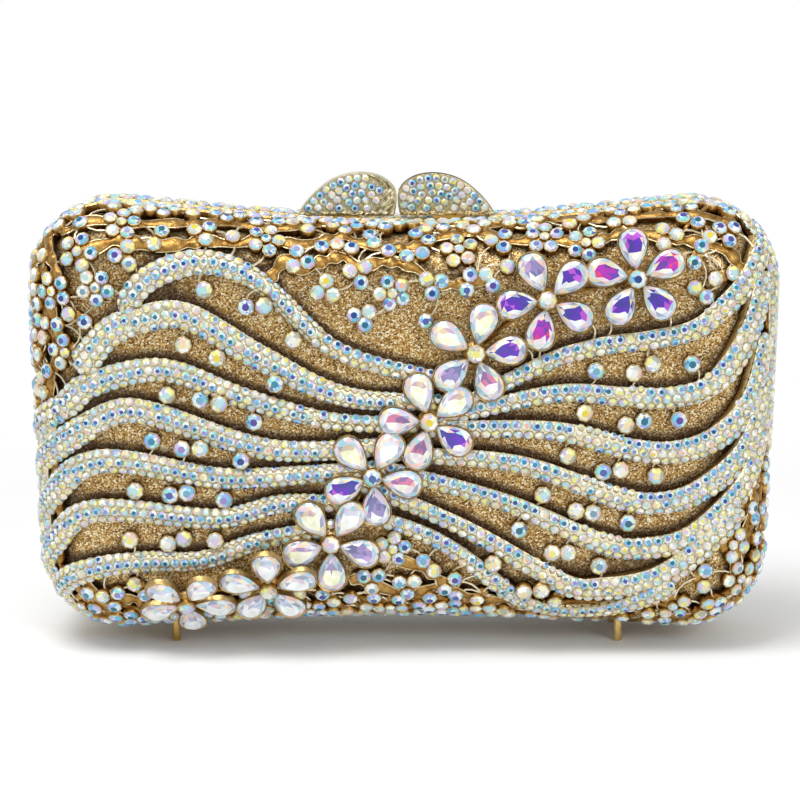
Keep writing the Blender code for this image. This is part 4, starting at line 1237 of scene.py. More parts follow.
@dataclass
class Sprigs:
    """Stones on fine gold branches, over the borders and in the gaps between the waves.

    Groups' centres are shares of half the width and half the height, and turns are in degrees.
    """

    form: CaseForm
    view: PhotoView
    stone_lift: float = 2.75 * MM
    high_lift: float = 4.0 * MM
    wire_lift: float = 1.9 * MM
    wire_radius: float = 0.32 * MM
    loose_radius: float = 2.2 * MM
    single_radius: float = 2.0 * MM
    single_pad: float = 0.8
    middle_share: float = 0.75
    middle_rise: float = 0.4 * MM
    longest_wire: float = 11 * MM
    foot_lift: float = 0.8 * MM

    # The radius of a group's stones and of the ring they stand on, by how many they are
    group_radii = {5: 1.8 * MM, 3: 1.95 * MM, 2: 1.95 * MM}
    group_rings = {5: 3.3 * MM, 3: 2.35 * MM, 2: 2.05 * MM}

    # Where loose stones show in the photograph, row by row between the waves
    loose_pixels = (
        (204, 290), (246, 307), (264, 306), (293, 340), (183, 345), (217, 358), (235, 358), (275, 384),
        (167, 395), (200, 400), (219, 404), (254, 422), (152, 441), (182, 449), (200, 449), (241, 461),
        (135, 491), (170, 495), (187, 493), (224, 500), (130, 540), (168, 544), (184, 539), (215, 541),
        (596, 371), (634, 373), (653, 364), (692, 364), (585, 413), (626, 425), (644, 421), (679, 420),
        (568, 456), (603, 472), (621, 470), (656, 476), (543, 495), (576, 511), (593, 513), (628, 523),
        (519, 530), (552, 553), (568, 553), (599, 566), (524, 592), (541, 591), (575, 602), (493, 564),
    )
    branch_shares = (
        ((-0.93, 0.91), (-0.85, 0.98), (-0.74, 0.98), (-0.60, 1.01), (-0.48, 1.05), (-0.36, 1.04),
         (-0.27, 1.08), (-0.16, 1.18), (0.07, 1.18), (0.20, 1.09), (0.29, 1.11), (0.40, 1.12),
         (0.53, 1.06), (0.67, 1.06), (0.80, 1.03), (0.91, 0.96)),
        ((-1.03, 1.05), (-0.96, 0.82), (-0.93, 0.69), (-0.95, 0.55), (-0.93, 0.38), (-0.96, 0.26),
         (-0.97, 0.13)),
        ((-0.92, 0.77), (-0.82, 0.85), (-0.76, 0.89), (-0.68, 0.87), (-0.61, 0.89), (-0.52, 0.92),
         (-0.45, 0.92), (-0.37, 0.96), (-0.28, 0.94), (-0.22, 0.98), (-0.16, 1.01), (-0.12, 0.97),
         (-0.04, 0.95), (0.03, 0.95), (0.10, 1.01), (0.20, 1.03), (0.30, 0.96), (0.38, 0.96), (0.49, 0.92),
         (0.61, 0.95), (0.70, 0.91), (0.80, 0.87), (0.87, 0.82), (0.91, 0.73)),
        ((-0.36, 0.76), (-0.32, 0.85), (-0.27, 0.82), (-0.22, 0.86), (-0.16, 0.89), (-0.12, 0.84),
         (-0.05, 0.87), (0.03, 0.84), (0.08, 0.77), (0.16, 0.76), (0.23, 0.79)),
        ((0.97, -0.09), (0.98, -0.39), (0.95, -0.53), (0.92, -0.67), (0.95, -0.84), (0.89, -0.96),
         (0.77, -0.99), (0.71, -1.03)),
        ((-0.15, -0.79), (-0.07, -0.84), (0.01, -0.89), (0.10, -0.84), (0.19, -0.90), (0.33, -0.93)),
        ((-0.07, -0.62), (-0.01, -0.70), (0.07, -0.76), (0.13, -0.85)),
        ((-0.90, -0.74), (-0.84, -0.89), (-0.77, -0.86), (-0.70, -0.92)),
    )
    floret_shares = (
        (-0.87, 0.82), (-0.83, 0.67), (-0.94, 0.64), (-0.91, 0.35), (-0.76, 0.97), (-0.37, 0.95),
        (-0.16, 1.10), (-0.03, 0.72), (0.15, 0.92), (0.38, 0.96), (0.49, 0.91), (0.91, -0.59),
        (0.94, -0.76), (0.76, -0.89), (-0.03, -0.64), (-0.66, 1.12), (-0.48, 1.13), (0.60, 1.14),
        (0.76, 1.12),
    )
    triple_shares = (
        (-0.75, 0.82), (-0.54, 0.96), (-0.28, 0.86), (-0.12, 0.81), (-0.21, 0.73), (-0.11, 0.59),
        (0.08, 0.76), (0.26, 0.96), (0.10, 1.11), (0.78, 1.00), (0.71, 0.91), (0.87, 0.91), (0.95, -0.39),
        (0.83, -0.75), (0.86, -0.92), (-0.09, -0.80), (0.01, -0.83), (-0.82, -0.85),
    )
    triple_turns = (65, 170, 107, 166, 83, 45, 142, 174, 168, 63, 122, 153, 72, 54, 101, 153, 153, 162)
    pair_shares = (
        (-0.88, 0.52), (-0.66, 0.91), (0.20, 0.80), (0.05, 1.00), (0.03, 0.90), (0.59, 1.01), (0.79, 0.82),
        (0.86, 0.72), (0.80, 0.65), (0.13, -0.82), (0.07, -0.73), (-0.74, -0.81), (-0.26, 1.07),
        (-0.20, 0.94),
    )
    pair_turns = (-27, 63, 0, -36, 11, 0, 63, 13, -40, 49, -45, -47, 90, 12)
    single_shares = (
        (-0.87, 0.96), (-0.46, 0.95), (-0.14, 0.93), (-0.09, 1.01), (-0.08, 0.96), (-0.04, 0.92),
        (0.17, 0.73), (0.24, 0.75), (0.28, 0.83), (0.06, 0.57), (0.82, 0.89), (0.33, 1.08), (0.42, 1.20),
        (0.45, 1.03), (0.49, 1.07), (0.19, 1.04), (0.22, 1.09), (0.25, 1.13), (-0.40, 1.06), (-0.34, 1.08),
        (-0.31, 1.20), (-0.05, 1.08), (0.94, 0.94), (0.99, -0.58), (0.70, -1.05), (-0.87, -0.91),
        (-0.98, 0.80), (-1.00, 0.49), (-0.98, 0.41), (-1.01, 0.32), (-0.97, 0.25), (-0.94, 0.18),
        (-0.99, 0.14),
    )

    def groups(self) -> list[tuple[np.ndarray, int, float]]:
        """Every group that shows, as its place on the plan, its number of stones and its first one's turn."""
        rows = [(share, 5, float(index)) for index, share in enumerate(self.floret_shares)]
        rows += [(share, 3, math.radians(turn)) for share, turn in zip(self.triple_shares, self.triple_turns)]
        rows += [(share, 2, math.radians(turn)) for share, turn in zip(self.pair_shares, self.pair_turns)]
        rows += [(share, 1, 0.0) for share in self.single_shares]
        return [(self.form.plan_place(share), count, turn) for share, count, turn in rows]


@dataclass
class Openwork:
    """The cast openwork of a half: rim band, waves, rib under the flowers, branches and stones."""

    form: CaseForm
    sprigs: Sprigs
    stone_radius: float = 1.3 * MM
    border_stone_radius: float = 1.5 * MM
    stone_sink: float = 0.1 * MM
    fill_radii: tuple = (1.0 * MM, 0.8 * MM, 0.62 * MM)
    lip_radius: float = 0.3 * MM
    lip_inset: float = 0.16
    lip_tone: float = 2.9 * MM
    ledge: float = 0.8 * MM
    band_depth: float = 4.2 * MM
    band_top: float = 3.0 * MM
    band_foot: float = 0.3 * MM
    band_round: float = 0.5 * MM
    band_tone: float = 0.75
    band_rays: tuple = (60, 24, 14)
    twig_length: float = 17 * MM
    twig_lean: float = 6 * MM
    twig_width: float = 2.4 * MM
    twig_lift: float = 2.4 * MM
    twig_rays: tuple = (8, 2, 3)
    twig_count: int = 36
    spine_width: float = 1.1 * MM
    spine_lift: float = 2.5 * MM
    spine_count: int = 160
    branch_width: float = 2.6 * MM
    branch_lift: float = 2.6 * MM
    branch_lip_share: float = 0.75
    branch_lip_inset: float = 0.05
    branch_lip_tone: float = 2.6 * MM
    tier_reaches: tuple = (16 * MM, 22.5 * MM)
    tier_wander: float = 1.6 * MM
    tier_rate: float = 1.9
    tier_width: float = 2.0 * MM
    tier_lift: float = 2.3 * MM
    tier_rays: tuple = (24, 10, 6)
    tier_count: int = 420
    foot_x: float = 61.5 * MM
    foot_shift: float = 1.8 * MM
    foot_space: float = 3.4 * MM
    foot_depth: float = 10.2 * MM
    foot_room: float = 2.3 * MM
    band_stone_radius: float = 1.65 * MM
    band_stone_pitch: float = 2.1
    band_stone_rays: tuple = (240, 100, 60)
    band_reflection_share: float = 0.3
    band_closeness: float = 0.9
    pave_seed: int = 11
    cell_radii: float = 3.4

    # Wave centre lines, outer end first, as shares of half the width and half the height
    left_wave_shares = (
        ((-0.76, 0.56), (-0.69, 0.72), (-0.54, 0.82), (-0.38, 0.74), (-0.19, 0.42), (0.04, 0.28),
         (0.15, 0.25)),
        ((-0.88, 0.27), (-0.80, 0.45), (-0.70, 0.53), (-0.58, 0.55), (-0.39, 0.36), (-0.16, 0.16),
         (0.10, 0.13)),
        ((-1.11, -0.10), (-0.93, 0.08), (-0.85, 0.20), (-0.65, 0.28), (-0.44, 0.15), (-0.20, 0.03),
         (0.06, 0.01)),
        ((-1.12, -0.32), (-0.98, -0.15), (-0.81, 0.05), (-0.69, 0.06), (-0.44, -0.09), (-0.28, -0.13),
         (0.00, -0.10)),
        ((-1.11, -0.58), (-0.99, -0.38), (-0.88, -0.20), (-0.76, -0.18), (-0.52, -0.26), (-0.36, -0.26),
         (-0.07, -0.22)),
        ((-1.08, -0.80), (-0.98, -0.60), (-0.89, -0.44), (-0.77, -0.42), (-0.51, -0.47), (-0.34, -0.40),
         (-0.14, -0.40)),
        ((-1.05, -1.04), (-0.96, -0.80), (-0.87, -0.71), (-0.73, -0.68), (-0.56, -0.68), (-0.40, -0.59),
         (-0.18, -0.52)),
    )
    right_wave_shares = (
        ((1.04, 1.04), (0.94, 0.73), (0.81, 0.49), (0.67, 0.43), (0.54, 0.41), (0.38, 0.33), (0.13, 0.08)),
        ((0.98, 0.72), (0.94, 0.46), (0.85, 0.21), (0.73, 0.14), (0.60, 0.15), (0.40, 0.17), (0.08, 0.03)),
        ((1.00, 0.42), (0.95, 0.12), (0.86, -0.06), (0.74, -0.13), (0.61, -0.11), (0.40, -0.02),
         (0.05, -0.01)),
        ((1.00, 0.16), (0.94, -0.12), (0.83, -0.31), (0.72, -0.38), (0.59, -0.36), (0.31, -0.19),
         (-0.02, -0.14)),
        ((1.00, -0.06), (0.94, -0.30), (0.81, -0.54), (0.68, -0.61), (0.55, -0.59), (0.28, -0.39),
         (-0.06, -0.21)),
        ((0.93, -0.42), (0.81, -0.64), (0.70, -0.77), (0.57, -0.82), (0.44, -0.80), (0.17, -0.53),
         (-0.11, -0.30)),
        ((0.76, -0.79), (0.65, -0.89), (0.55, -0.96), (0.44, -0.98), (0.32, -0.89), (0.09, -0.59),
         (-0.17, -0.42)),
    )
    left_width_shares = ((0.80, 0.70, 0.50), (0.95, 0.95, 0.55), (0.90, 0.85, 0.50), (0.95, 0.90, 0.60),
                         (0.95, 0.85, 0.55), (0.95, 0.80, 0.55), (0.90, 0.75, 0.52))
    right_width_shares = ((0.95, 0.72, 0.50), (0.95, 0.80, 0.52), (0.95, 0.85, 0.55), (0.90, 0.82, 0.50),
                          (0.90, 0.80, 0.50), (0.80, 0.82, 0.50), (0.65, 0.72, 0.48))
    # Borders in which the waves' outer ends run together, and the rib under the flowers
    border_shares = (
        ((-0.97, 0.02), (-1.03, -0.22), (-1.04, -0.55), (-1.02, -0.82), (-0.95, -1.04)),
        ((0.95, 1.12), (1.02, 0.86), (1.06, 0.50), (1.06, 0.16), (1.03, -0.14)),
    )
    border_width_shares = ((0.8, 1.35, 1.0), (1.0, 1.35, 0.9))
    spine_shares = (
        (0.88, 1.19), (0.76, 0.95), (0.626, 0.737), (0.386, 0.662), (0.195, 0.398), (0.070, 0.035),
        (-0.085, -0.253), (-0.201, -0.598), (-0.377, -0.805), (-0.610, -0.858), (-0.75, -1.00),
        (-0.88, -1.20),
    )

    def __post_init__(self) -> None:
        """Draw every wave and border of the half, and map how high they stand."""
        self.waves = []
        for shares, widths in zip(self.left_wave_shares, self.left_width_shares):
            self.waves.append(Wave(self.form, shares, widths, True, crest_share=0.45, reflection_rows=(0.2, 0.52)))
        for shares, widths in zip(self.right_wave_shares, self.right_width_shares):
            self.waves.append(Wave(self.form, shares, widths, False, crest_share=0.3, upper_drop=0.6 * MM,
                                   ledge=self.ledge, reflection_rows=(0.0, 0.34)))
        for is_left, (shares, widths) in enumerate(zip(self.border_shares, self.border_width_shares)):
            self.waves.append(Wave(self.form, shares, widths, is_left == 0, crest_lift=3.1 * MM,
                                   upper_drop=0.8 * MM, lower_drop=0.8 * MM, count=64))
        # The shadow map holds the waves and, below, the branches; it sets the shell's painted shade
        self.relief, self.shadow = Relief(self.form), Relief(self.form)
        for number, wave in enumerate(self.waves):
            wave.number = number
            wave.raise_map(self.relief)
            wave.raise_map(self.shadow)
        self.branches = self.all_branches()
        for wave in self.branches[1:]:
            wave.raise_map(self.shadow)

    def band(self, shape: Shape) -> None:
        """Add the rim band that runs right round the case beside the frame."""
        roots, ways = self.form.rays(*self.band_rays)
        front, back = self.form.shell_mouth, self.form.shell_mouth + self.band_depth
        foot, top, bevel = self.band_foot, self.band_top, self.band_round
        profile = ((front, foot), (front, top - bevel), (front + bevel, top), (back - bevel, top),
                   (back, top - bevel), (back, foot))
        rows = [self.form.place(roots + ways * (self.form.parting_reach - depth), lift)
                for depth, lift in profile]
        lifts = np.repeat([lift * self.band_tone for _, lift in profile], len(roots))
        shape.add(np.vstack(rows), grid_faces(len(rows), len(roots), looped=True), lifts)

    def branch(self, shares: tuple, width: float, crest_lift: float, count: int) -> Wave:
        """A knotty branch along a line on the plan."""
        return Wave(self.form, shares, (1.1, 1.0, 1.0), True, full_width=width, upper_drop=0.6 * MM,
                    lower_drop=0.6 * MM, crest_lift=crest_lift, lumps=0.3, tone=0.62, count=count,
                    dome_steps=4)

    def all_branches(self) -> list[Wave]:
        """The rib under the flowers, the border's branches, the twigs and the tiers of the sides."""
        made = [self.branch(self.spine_shares, self.spine_width, self.spine_lift, self.spine_count)]
        for shares in self.sprigs.branch_shares:
            made.append(self.branch(shares, self.branch_width, self.branch_lift, len(shares) * 10))
        return made + self.twigs() + self.tiers()

    def build_cast(self) -> Shape:
        """Build the whole casting: band, waves with their lips, rib, branches and twigs."""
        shape = Shape()
        self.band(shape)
        for wave in self.waves:
            wave.build(shape)
            wave.add_lips(shape, self.lip_radius, self.lip_inset, self.lip_tone)
        for number, wave in enumerate(self.branches):
            wave.build(shape)
            if 0 < number <= len(self.sprigs.branch_shares):
                wave.add_lips(shape, self.lip_radius * self.branch_lip_share, self.branch_lip_inset,
                              self.branch_lip_tone)
        return shape

    def twigs(self) -> list[Wave]:
        """Short slanting branches from the band on to the face, along the sides and the bottom."""
        form = self.form
        made = []
        for index, (root, way) in enumerate(zip(*(rows[::2] for rows in form.rays(*self.twig_rays)))):
            over_foot = abs(abs(root[0]) - self.foot_x) < self.foot_space + self.foot_shift
            if way[1] > 1e-6 or (way[1] < -1e-6 and over_foot):
                continue
            aside = np.array((-way[1], way[0])) * self.twig_lean * (1 if index % 2 else -1)
            start = root + way * (form.parting_reach - form.shell_mouth - self.band_depth / 2)
            end = start - way * self.twig_length + aside
            places = (start, (start + end) / 2 - aside / 4, end)
            shares = tuple(tuple(place / form.half_size) for place in places)
            made.append(self.branch(shares, self.twig_width, self.twig_lift, self.twig_count))
        return made

    def tiers(self) -> list[Wave]:
        """Wandering branches right round the roll of the sides and the bottom."""
        form = self.form
        roots, ways = form.rays(*self.tier_rays)
        sides = ways[:, 1] <= 1e-6
        start = int(np.argmax(sides & ~np.roll(sides, 1)))
        order = np.roll(np.arange(len(roots)), -start)
        order = order[sides[order]]
        made = []
        for tier, reach in enumerate(self.tier_reaches):
            wander = self.tier_wander * np.sin(np.arange(len(order)) * self.tier_rate + tier)
            line = (roots[order] + ways[order] * (reach + wander)[:, None]) / form.half_size
            shares = tuple(map(tuple, line))
            made.append(self.branch(shares, self.tier_width, self.tier_lift, self.tier_count))
        return made

    def set_stones(self, stones: StoneCloud) -> None:
        """Set the pavé of every wave and border."""
        for wave in self.waves:
            radius = self.stone_radius if wave.reflection_rows[1] else self.border_stone_radius
            wave.set_rows(stones, self.relief, radius, self.stone_sink)
        log.info("%d stones in rows", len(stones.rows))
        for wave in self.waves:
            wave.fill(stones, self.relief, self.fill_radii, self.stone_sink)
        log.info("%d stones with the small ones", len(stones.rows))

    def set_band(self, stones: StoneCloud) -> None:
        """Set a row of stones along the rim band, which faces up, down and sideways."""
        form = self.form
        roots, ways = form.rays(*self.band_stone_rays)
        plan = roots + ways * (form.parting_reach - form.shell_mouth - self.band_depth / 2)
        runs = run_lengths(form.place(plan, self.band_top))
        for place in np.arange(0, runs[-1], self.band_stone_radius * self.band_stone_pitch):
            spot = np.array([np.interp(place, runs, plan[:, axis]) for axis in (0, 1)])
            out = form.normal(spot, self.band_top)
            if not self.near_foot(spot, self.band_stone_radius):
                point = form.place(spot, self.band_top - self.stone_sink)
                stones.add(point, out, self.band_stone_radius, self.band_reflection_share, self.band_closeness)

    def near_foot(self, spot: np.ndarray, reach: float) -> bool:
        """Whether something of a given reach on the plan would meet a foot of either half."""
        deep = -(self.form.flat[1] + self.form.parting_reach - self.foot_depth)
        return any(math.hypot(abs(spot[0]) - self.foot_x - shift, spot[1] - deep) < reach + self.foot_room
                   for shift in (-self.foot_shift, self.foot_shift))


class Branches:
    """Sets the sprigs' stones, the pads under them and the wires that carry them."""

    stone_seed = 23
    cell_radii = 2.2
    edge_share = 0.42

    # Least distances to the waves' stones, in shares of the radii's sum, for low and high stones
    low_room = 0.8
    high_room = 0.55

    # The clusters round the edges: their tiers, how many stones each has in turn, how far in
    # millimetres each strays, how far every other tier is shifted along, the room they leave the
    # feet, and the first tiers, which are left out where the case faces up, as the seen ones fill them
    border_seed = 41
    border_rays = (22, 8, 4)
    border_reaches = (13.5 * MM, 19 * MM, 24.5 * MM, 29 * MM)
    border_counts = (1, 3, 1, 5, 2, 3)
    border_jitter = 1.2
    border_shift = 3.1 * MM
    foot_reach = 4 * MM
    top_facing = 0.5
    top_tiers = 2

    # The wires: how many neighbours each cluster is joined to, and how far they reach
    neighbours = 5
    hold_reach = 6.5 * MM
    wave_reach_share = 0.8
    wire_bow = 0.2
    wire_tone = 2.9 * MM
    pad_profile = ((0.95, 1.6 * MM), (0.7, 2.1 * MM), (0.3, 2.2 * MM))
    pad_sides = 10
    pad_tone = 0.8

    def __init__(self, openwork: Openwork, pave: StoneCloud) -> None:
        """Keep what the branches grow round.

        Args:
            openwork: the casting that carries them.
            pave: the stones that are there already.
        """
        self.sprigs = openwork.sprigs
        self.form = openwork.form
        self.openwork = openwork
        self.pave = pave
        self.relief = openwork.relief
        self.stones = StoneCloud(self.cell_radii * self.sprigs.loose_radius, self.stone_seed)
        self.wires: list[np.ndarray] = []
        self.knots: list[tuple[np.ndarray, float]] = []
        self.lines = np.vstack([wave.centre + wave.upper * wave.width[:, None] * side
                                for wave in openwork.waves[:-2]
                                for side in (-self.edge_share, self.edge_share)])

    def set_stone(self, plan: np.ndarray, radius: float, lift: float, closeness: float = 0.86,
                  reflection_share: float = 0.5, pave_room: float = low_room) -> bool:
        """Set one stone over a place on the plan, if nothing is in its way.

        Args:
            plan: the place on the plan.
            radius: the stone's radius.
            lift: how high its girdle lies over the case.
            closeness: the least distance to another stone as a share of their radii's sum.
            reflection_share: how often its table is dark.
            pave_room: the least distance to a wave's stone as a share of their radii's sum.

        Returns:
            True if it was set.
        """
        point = self.form.place(plan, lift)
        if self.relief.hides(plan, lift) or not self.pave.is_free(tuple(point), radius, pave_room):
            return False
        return self.stones.add(point, self.form.normal(plan, lift), radius, reflection_share, closeness)

    def wire(self, start: np.ndarray, end: np.ndarray) -> None:
        """Lay a wire over the case between two places on the plan, a little bowed."""
        share = np.linspace(0, 1, 6)[:, None]
        ahead = end - start
        aside = np.array((-ahead[1], ahead[0])) * self.wire_bow
        line = start + ahead * share + aside * np.sin(share * math.pi)
        self.wires.append(self.form.place(line, self.sprigs.wire_lift))

    def nearest(self, plan: np.ndarray) -> np.ndarray:
        """The place nearest to another on the edges of the waves."""
        return self.lines[np.argmin(np.linalg.norm(self.lines - plan, axis=1))]

    def loose(self) -> None:
        """Set the larger stones in the gaps, each on a stalk from the nearest wave, a few over its edge."""
        sprigs = self.sprigs
        for pixel in sprigs.loose_pixels:
            for lift, room in ((sprigs.stone_lift, self.low_room), (sprigs.high_lift, self.high_room)):
                plan = sprigs.view.plan_place(self.form, pixel, lift)
                if self.set_stone(plan, sprigs.loose_radius, lift, pave_room=room):
                    self.wire(plan, self.nearest(plan))
                    break

    def cluster(self, plan: np.ndarray, count: int, turn: float) -> None:
        """Set a single stone, a pair, a triple or a five-stone floret about a place on the plan.

        Args:
            plan: its centre.
            count: how many stones, but for the one in a floret's middle.
            turn: the first stone's direction.
        """
        sprigs = self.sprigs
        if count == 1:
            reach = sprigs.single_pad * sprigs.single_radius
            done = self.set_stone(plan, sprigs.single_radius, sprigs.stone_lift)
        else:
            reach, radius = sprigs.group_rings[count], sprigs.group_radii[count]
            done = False
            for index in range(count):
                angle = turn + math.tau * index / count
                spot = plan + reach * np.array((math.cos(angle), math.sin(angle)))
                done = self.set_stone(spot, radius, sprigs.stone_lift, closeness=0.8) or done
            if count == 5:
                self.set_stone(plan, radius * sprigs.middle_share, sprigs.stone_lift + sprigs.middle_rise,
                               closeness=0.7, reflection_share=0.2)
        if done:
            self.knots.append((plan, reach))

    def borders(self) -> None:
        """Set clusters round the edges, in tiers down to the rim band, where the seen ones leave room."""
        chances = np.random.default_rng(self.border_seed)
        for tier, reach in enumerate(self.border_reaches):
            roots, ways = self.form.rays(*self.border_rays)
            for index, (root, way) in enumerate(zip(roots, ways)):
                along = np.array((-way[1], way[0]))
                jitter = chances.uniform(-self.border_jitter, self.border_jitter, 2) * MM
                plan = root + way * (reach + jitter[0]) + along * (jitter[1] + tier % 2 * self.border_shift)
                count = self.border_counts[(index * 2 + tier) % len(self.border_counts)]
                turn = float(chances.uniform(0, math.tau))
                drawn_elsewhere = way[1] > self.top_facing and tier < self.top_tiers
                if not drawn_elsewhere and not self.openwork.near_foot(plan, self.foot_reach):
                    self.cluster(plan, count, turn)

    def hold(self, tips: list[np.ndarray]) -> None:
        """Hold the flowers' drops at their ends with short wires to the waves and clusters."""
        for tip in tips:
            ends = [self.nearest(tip)] + [plan for plan, _ in self.knots]
            end = min(ends, key=lambda place: np.linalg.norm(place - tip))
            if np.linalg.norm(end - tip) < self.hold_reach:
                self.wire(tip, end)

    def set_all(self) -> None:
        """Set the loose stones, the groups that show and those round the edges, and join them."""
        self.loose()
        for plan, count, turn in self.sprigs.groups():
            self.cluster(plan, count, turn)
        self.borders()
        self.net()
        log.info("%d stones on sprigs", len(self.stones.rows))

    def net(self) -> None:
        """Join every cluster to its nearest neighbours, and the outer ones to the waves, with wires."""
        knots = np.array([plan for plan, _ in self.knots])
        reach = self.sprigs.longest_wire
        done = set()
        for index, knot in enumerate(knots):
            away = np.linalg.norm(knots - knot, axis=1)
            for other in np.argsort(away)[1:self.neighbours + 1]:
                pair = (min(index, int(other)), max(index, int(other)))
                if away[other] < reach and pair not in done:
                    done.add(pair)
                    self.wire(knot, knots[other])
            nearest = self.nearest(knot)
            if np.linalg.norm(nearest - knot) < reach * self.wave_reach_share:
                self.wire(knot, nearest)

    def add_metal(self, shape: Shape) -> None:
        """Add every wire, and a low round pad under every cluster, to a shape."""
        for line in self.wires:
            shape.add(*tube(line, self.sprigs.wire_radius), self.wire_tone)
        turns = np.arange(self.pad_sides) * math.tau / self.pad_sides
        ways = np.stack((np.cos(turns), np.sin(turns)), -1)
        profile = ((1.0, self.sprigs.foot_lift), *self.pad_profile)
        for plan, reach in self.knots:
            rows = [self.form.place(plan + ways * reach * share, lift) for share, lift in profile]
            lifts = np.repeat([lift * self.pad_tone for _, lift in profile], len(ways))
            shape.add(np.vstack(rows), grid_faces(len(rows), len(ways), capped=True), lifts)


# Flowers


class Tint(Enum):
    """What a drop shows through its table: three deep tones and two pale ones."""

    VIOLET = ("#473f9e", "#5f30b4", "#b456cc", "#dfe6f4", "#f0f0e6")
    MAGENTA = ("#6a40a8", "#ae32b2", "#d8407a", "#eedfe8", "#f2f2e2")
    MAUVE = ("#7674a0", "#9688bc", "#b99ccc", "#e6e8f0", "#f0f2e8")
    PINK = ("#8c6ca0", "#c97a9c", "#e8b4a4", "#ecdfe6", "#eef0de")
    CREAM = ("#a493bc", "#c9a9bc", "#d8c4ac", "#eef0c8", "#f6f6e2")
    OPAL = ("#b9bedb", "#d6dcf0", "#e6d6e6", "#eef6f6", "#f8f8f6")


@dataclass
class Flowers:
    """Eight flowers of five pear-cut drops round a round stone, in thin gold settings."""

    form: CaseForm
    petal_length: float = 10.9 * MM
    petal_width: float = 7.5 * MM
    petal_ring: float = 7.9 * MM
    petal_seat: float = 0.7 * MM
    girdle: float = 0.75 * MM
    crown_break: float = 1.5 * MM
    table_height: float = 2.1 * MM
    heart_radius: float = 2.3 * MM
    heart_lift: float = 2.6 * MM
    boss_radius: float = 3.2 * MM
    seat_lift: float = 3.0 * MM
    spine_width: float = 2.2 * MM
    fit_gap: float = 0.3 * MM
    bezel: float = 0.4 * MM
    outline_points: int = 20
    petals: int = 5
    plumpness: float = 0.9
    tip_share: float = 0.47
    seed: int = 100

    # A drop's foot, crown break, table and inner star as shares of its outline about its middle
    foot_share = 0.9
    break_share = 0.84
    table_share = 0.62
    star_share = 0.32
    middle_share = 0.08
    foot_height = 0.35 * MM

    # Its setting: the ring's section and the boss's in the flower's middle
    ring_points = 28
    ring_tone = 2.2 * MM
    boss_sides = 16
    boss_foot = -1.0 * MM
    boss_tone = 2.0 * MM

    centre_shares = ((0.626, 0.737), (0.386, 0.662), (0.195, 0.398), (0.070, 0.035), (-0.085, -0.253),
                     (-0.201, -0.598), (-0.377, -0.805), (-0.610, -0.858))
    turns = (21, 40, 4, 36, 60, 54, 18, 58)
    leans = (0, 0, 0, 0, 0, 2, 18, 18)
    tints = (
        (Tint.MAGENTA, Tint.VIOLET, Tint.MAGENTA, Tint.VIOLET, Tint.VIOLET),
        (Tint.VIOLET, Tint.MAUVE, Tint.VIOLET, Tint.MAGENTA, Tint.VIOLET),
        (Tint.VIOLET, Tint.CREAM, Tint.CREAM, Tint.MAUVE, Tint.PINK),
        (Tint.CREAM, Tint.CREAM, Tint.PINK, Tint.PINK, Tint.VIOLET),
        (Tint.OPAL, Tint.CREAM, Tint.VIOLET, Tint.MAUVE, Tint.PINK),
        (Tint.OPAL, Tint.CREAM, Tint.CREAM, Tint.CREAM, Tint.MAUVE),
        (Tint.OPAL, Tint.OPAL, Tint.OPAL, Tint.OPAL, Tint.OPAL),
        (Tint.OPAL, Tint.OPAL, Tint.OPAL, Tint.OPAL, Tint.OPAL),
    )
    heart_chances = (0.3, 0.05, 0.22, 0.93, 0.5, 0.38, 0.05, 0.4)
    # Hearts that get a painted dark reflection in their tables
    reflecting_hearts = (0, 4)
    crown_tones = ("#e4e8ee", "#c3d0e4", "#ecdfb4", "#d3c8e2", "#a9d4de", "#ecc9be", "#9fa8be", "#e6ebe4")
    rim_tone = "#8f8268"

    # Where up a table its deep colour begins, in half lengths, and how the deep tones follow on
    deep_tints = (Tint.VIOLET, Tint.MAGENTA, Tint.MAUVE)
    deep_edge = -0.25
    pink_edge = 0.0
    pale_edge = 0.20
    star_edge = -0.1
    star_chance = 0.35
    tone_start = 0.6
    tone_rate = 1.8
    tone_jitter = 0.8
    last_tone = 2.9

    def outline(self, count: int, shift: float = 0.0) -> np.ndarray:
        """Points round a drop, its point towards the flower's middle.

        Args:
            count: how many points.
            shift: how far round the first lies, in steps.

        Returns:
            Places about the drop's middle, as rows.
        """
        turn = (np.arange(count) + shift) * math.tau / count
        width = np.sin(turn) * np.sin(turn / 2) ** self.plumpness
        fine = np.linspace(0, math.tau, 400)
        widest = np.max(np.sin(fine) * np.sin(fine / 2) ** self.plumpness)
        return np.stack((-self.petal_length / 2 * np.cos(turn), self.petal_width / 2 * width / widest), -1)

    def matrix(self, index: int) -> Matrix:
        """Where a flower sits on the front half: square to the case, leaned and turned."""
        place = self.form.plan_place(self.centre_shares[index])
        step = self.boss_radius
        foot, right, above, below = (
            Vector(self.form.place(place + np.array(shift), self.seat_lift))
            for shift in ((0, 0), (step, 0), (0, step), (0, -step)))
        across = (right - foot).normalized()
        out = across.cross(above - below).normalized()
        up = out.cross(across)
        axes = Matrix((across, up, out)).transposed().to_4x4()
        tilt = math.radians(self.leans[index])
        seat = foot + out * (self.fit_gap + self.spine_width / 2 * math.sin(tilt))
        return (Matrix.Translation(seat) @ axes @ Matrix.Rotation(tilt, 4, "X")
                @ Matrix.Rotation(math.radians(self.turns[index]), 4, "Z"))

    def petal_matrix(self, place: Matrix, petal: int) -> Matrix:
        """Where one of a flower's drops sits, when the flower sits at a place."""
        turn = Matrix.Rotation(math.tau * petal / self.petals, 4, "Z")
        return place @ turn @ Matrix.Translation((self.petal_ring, 0, 0))

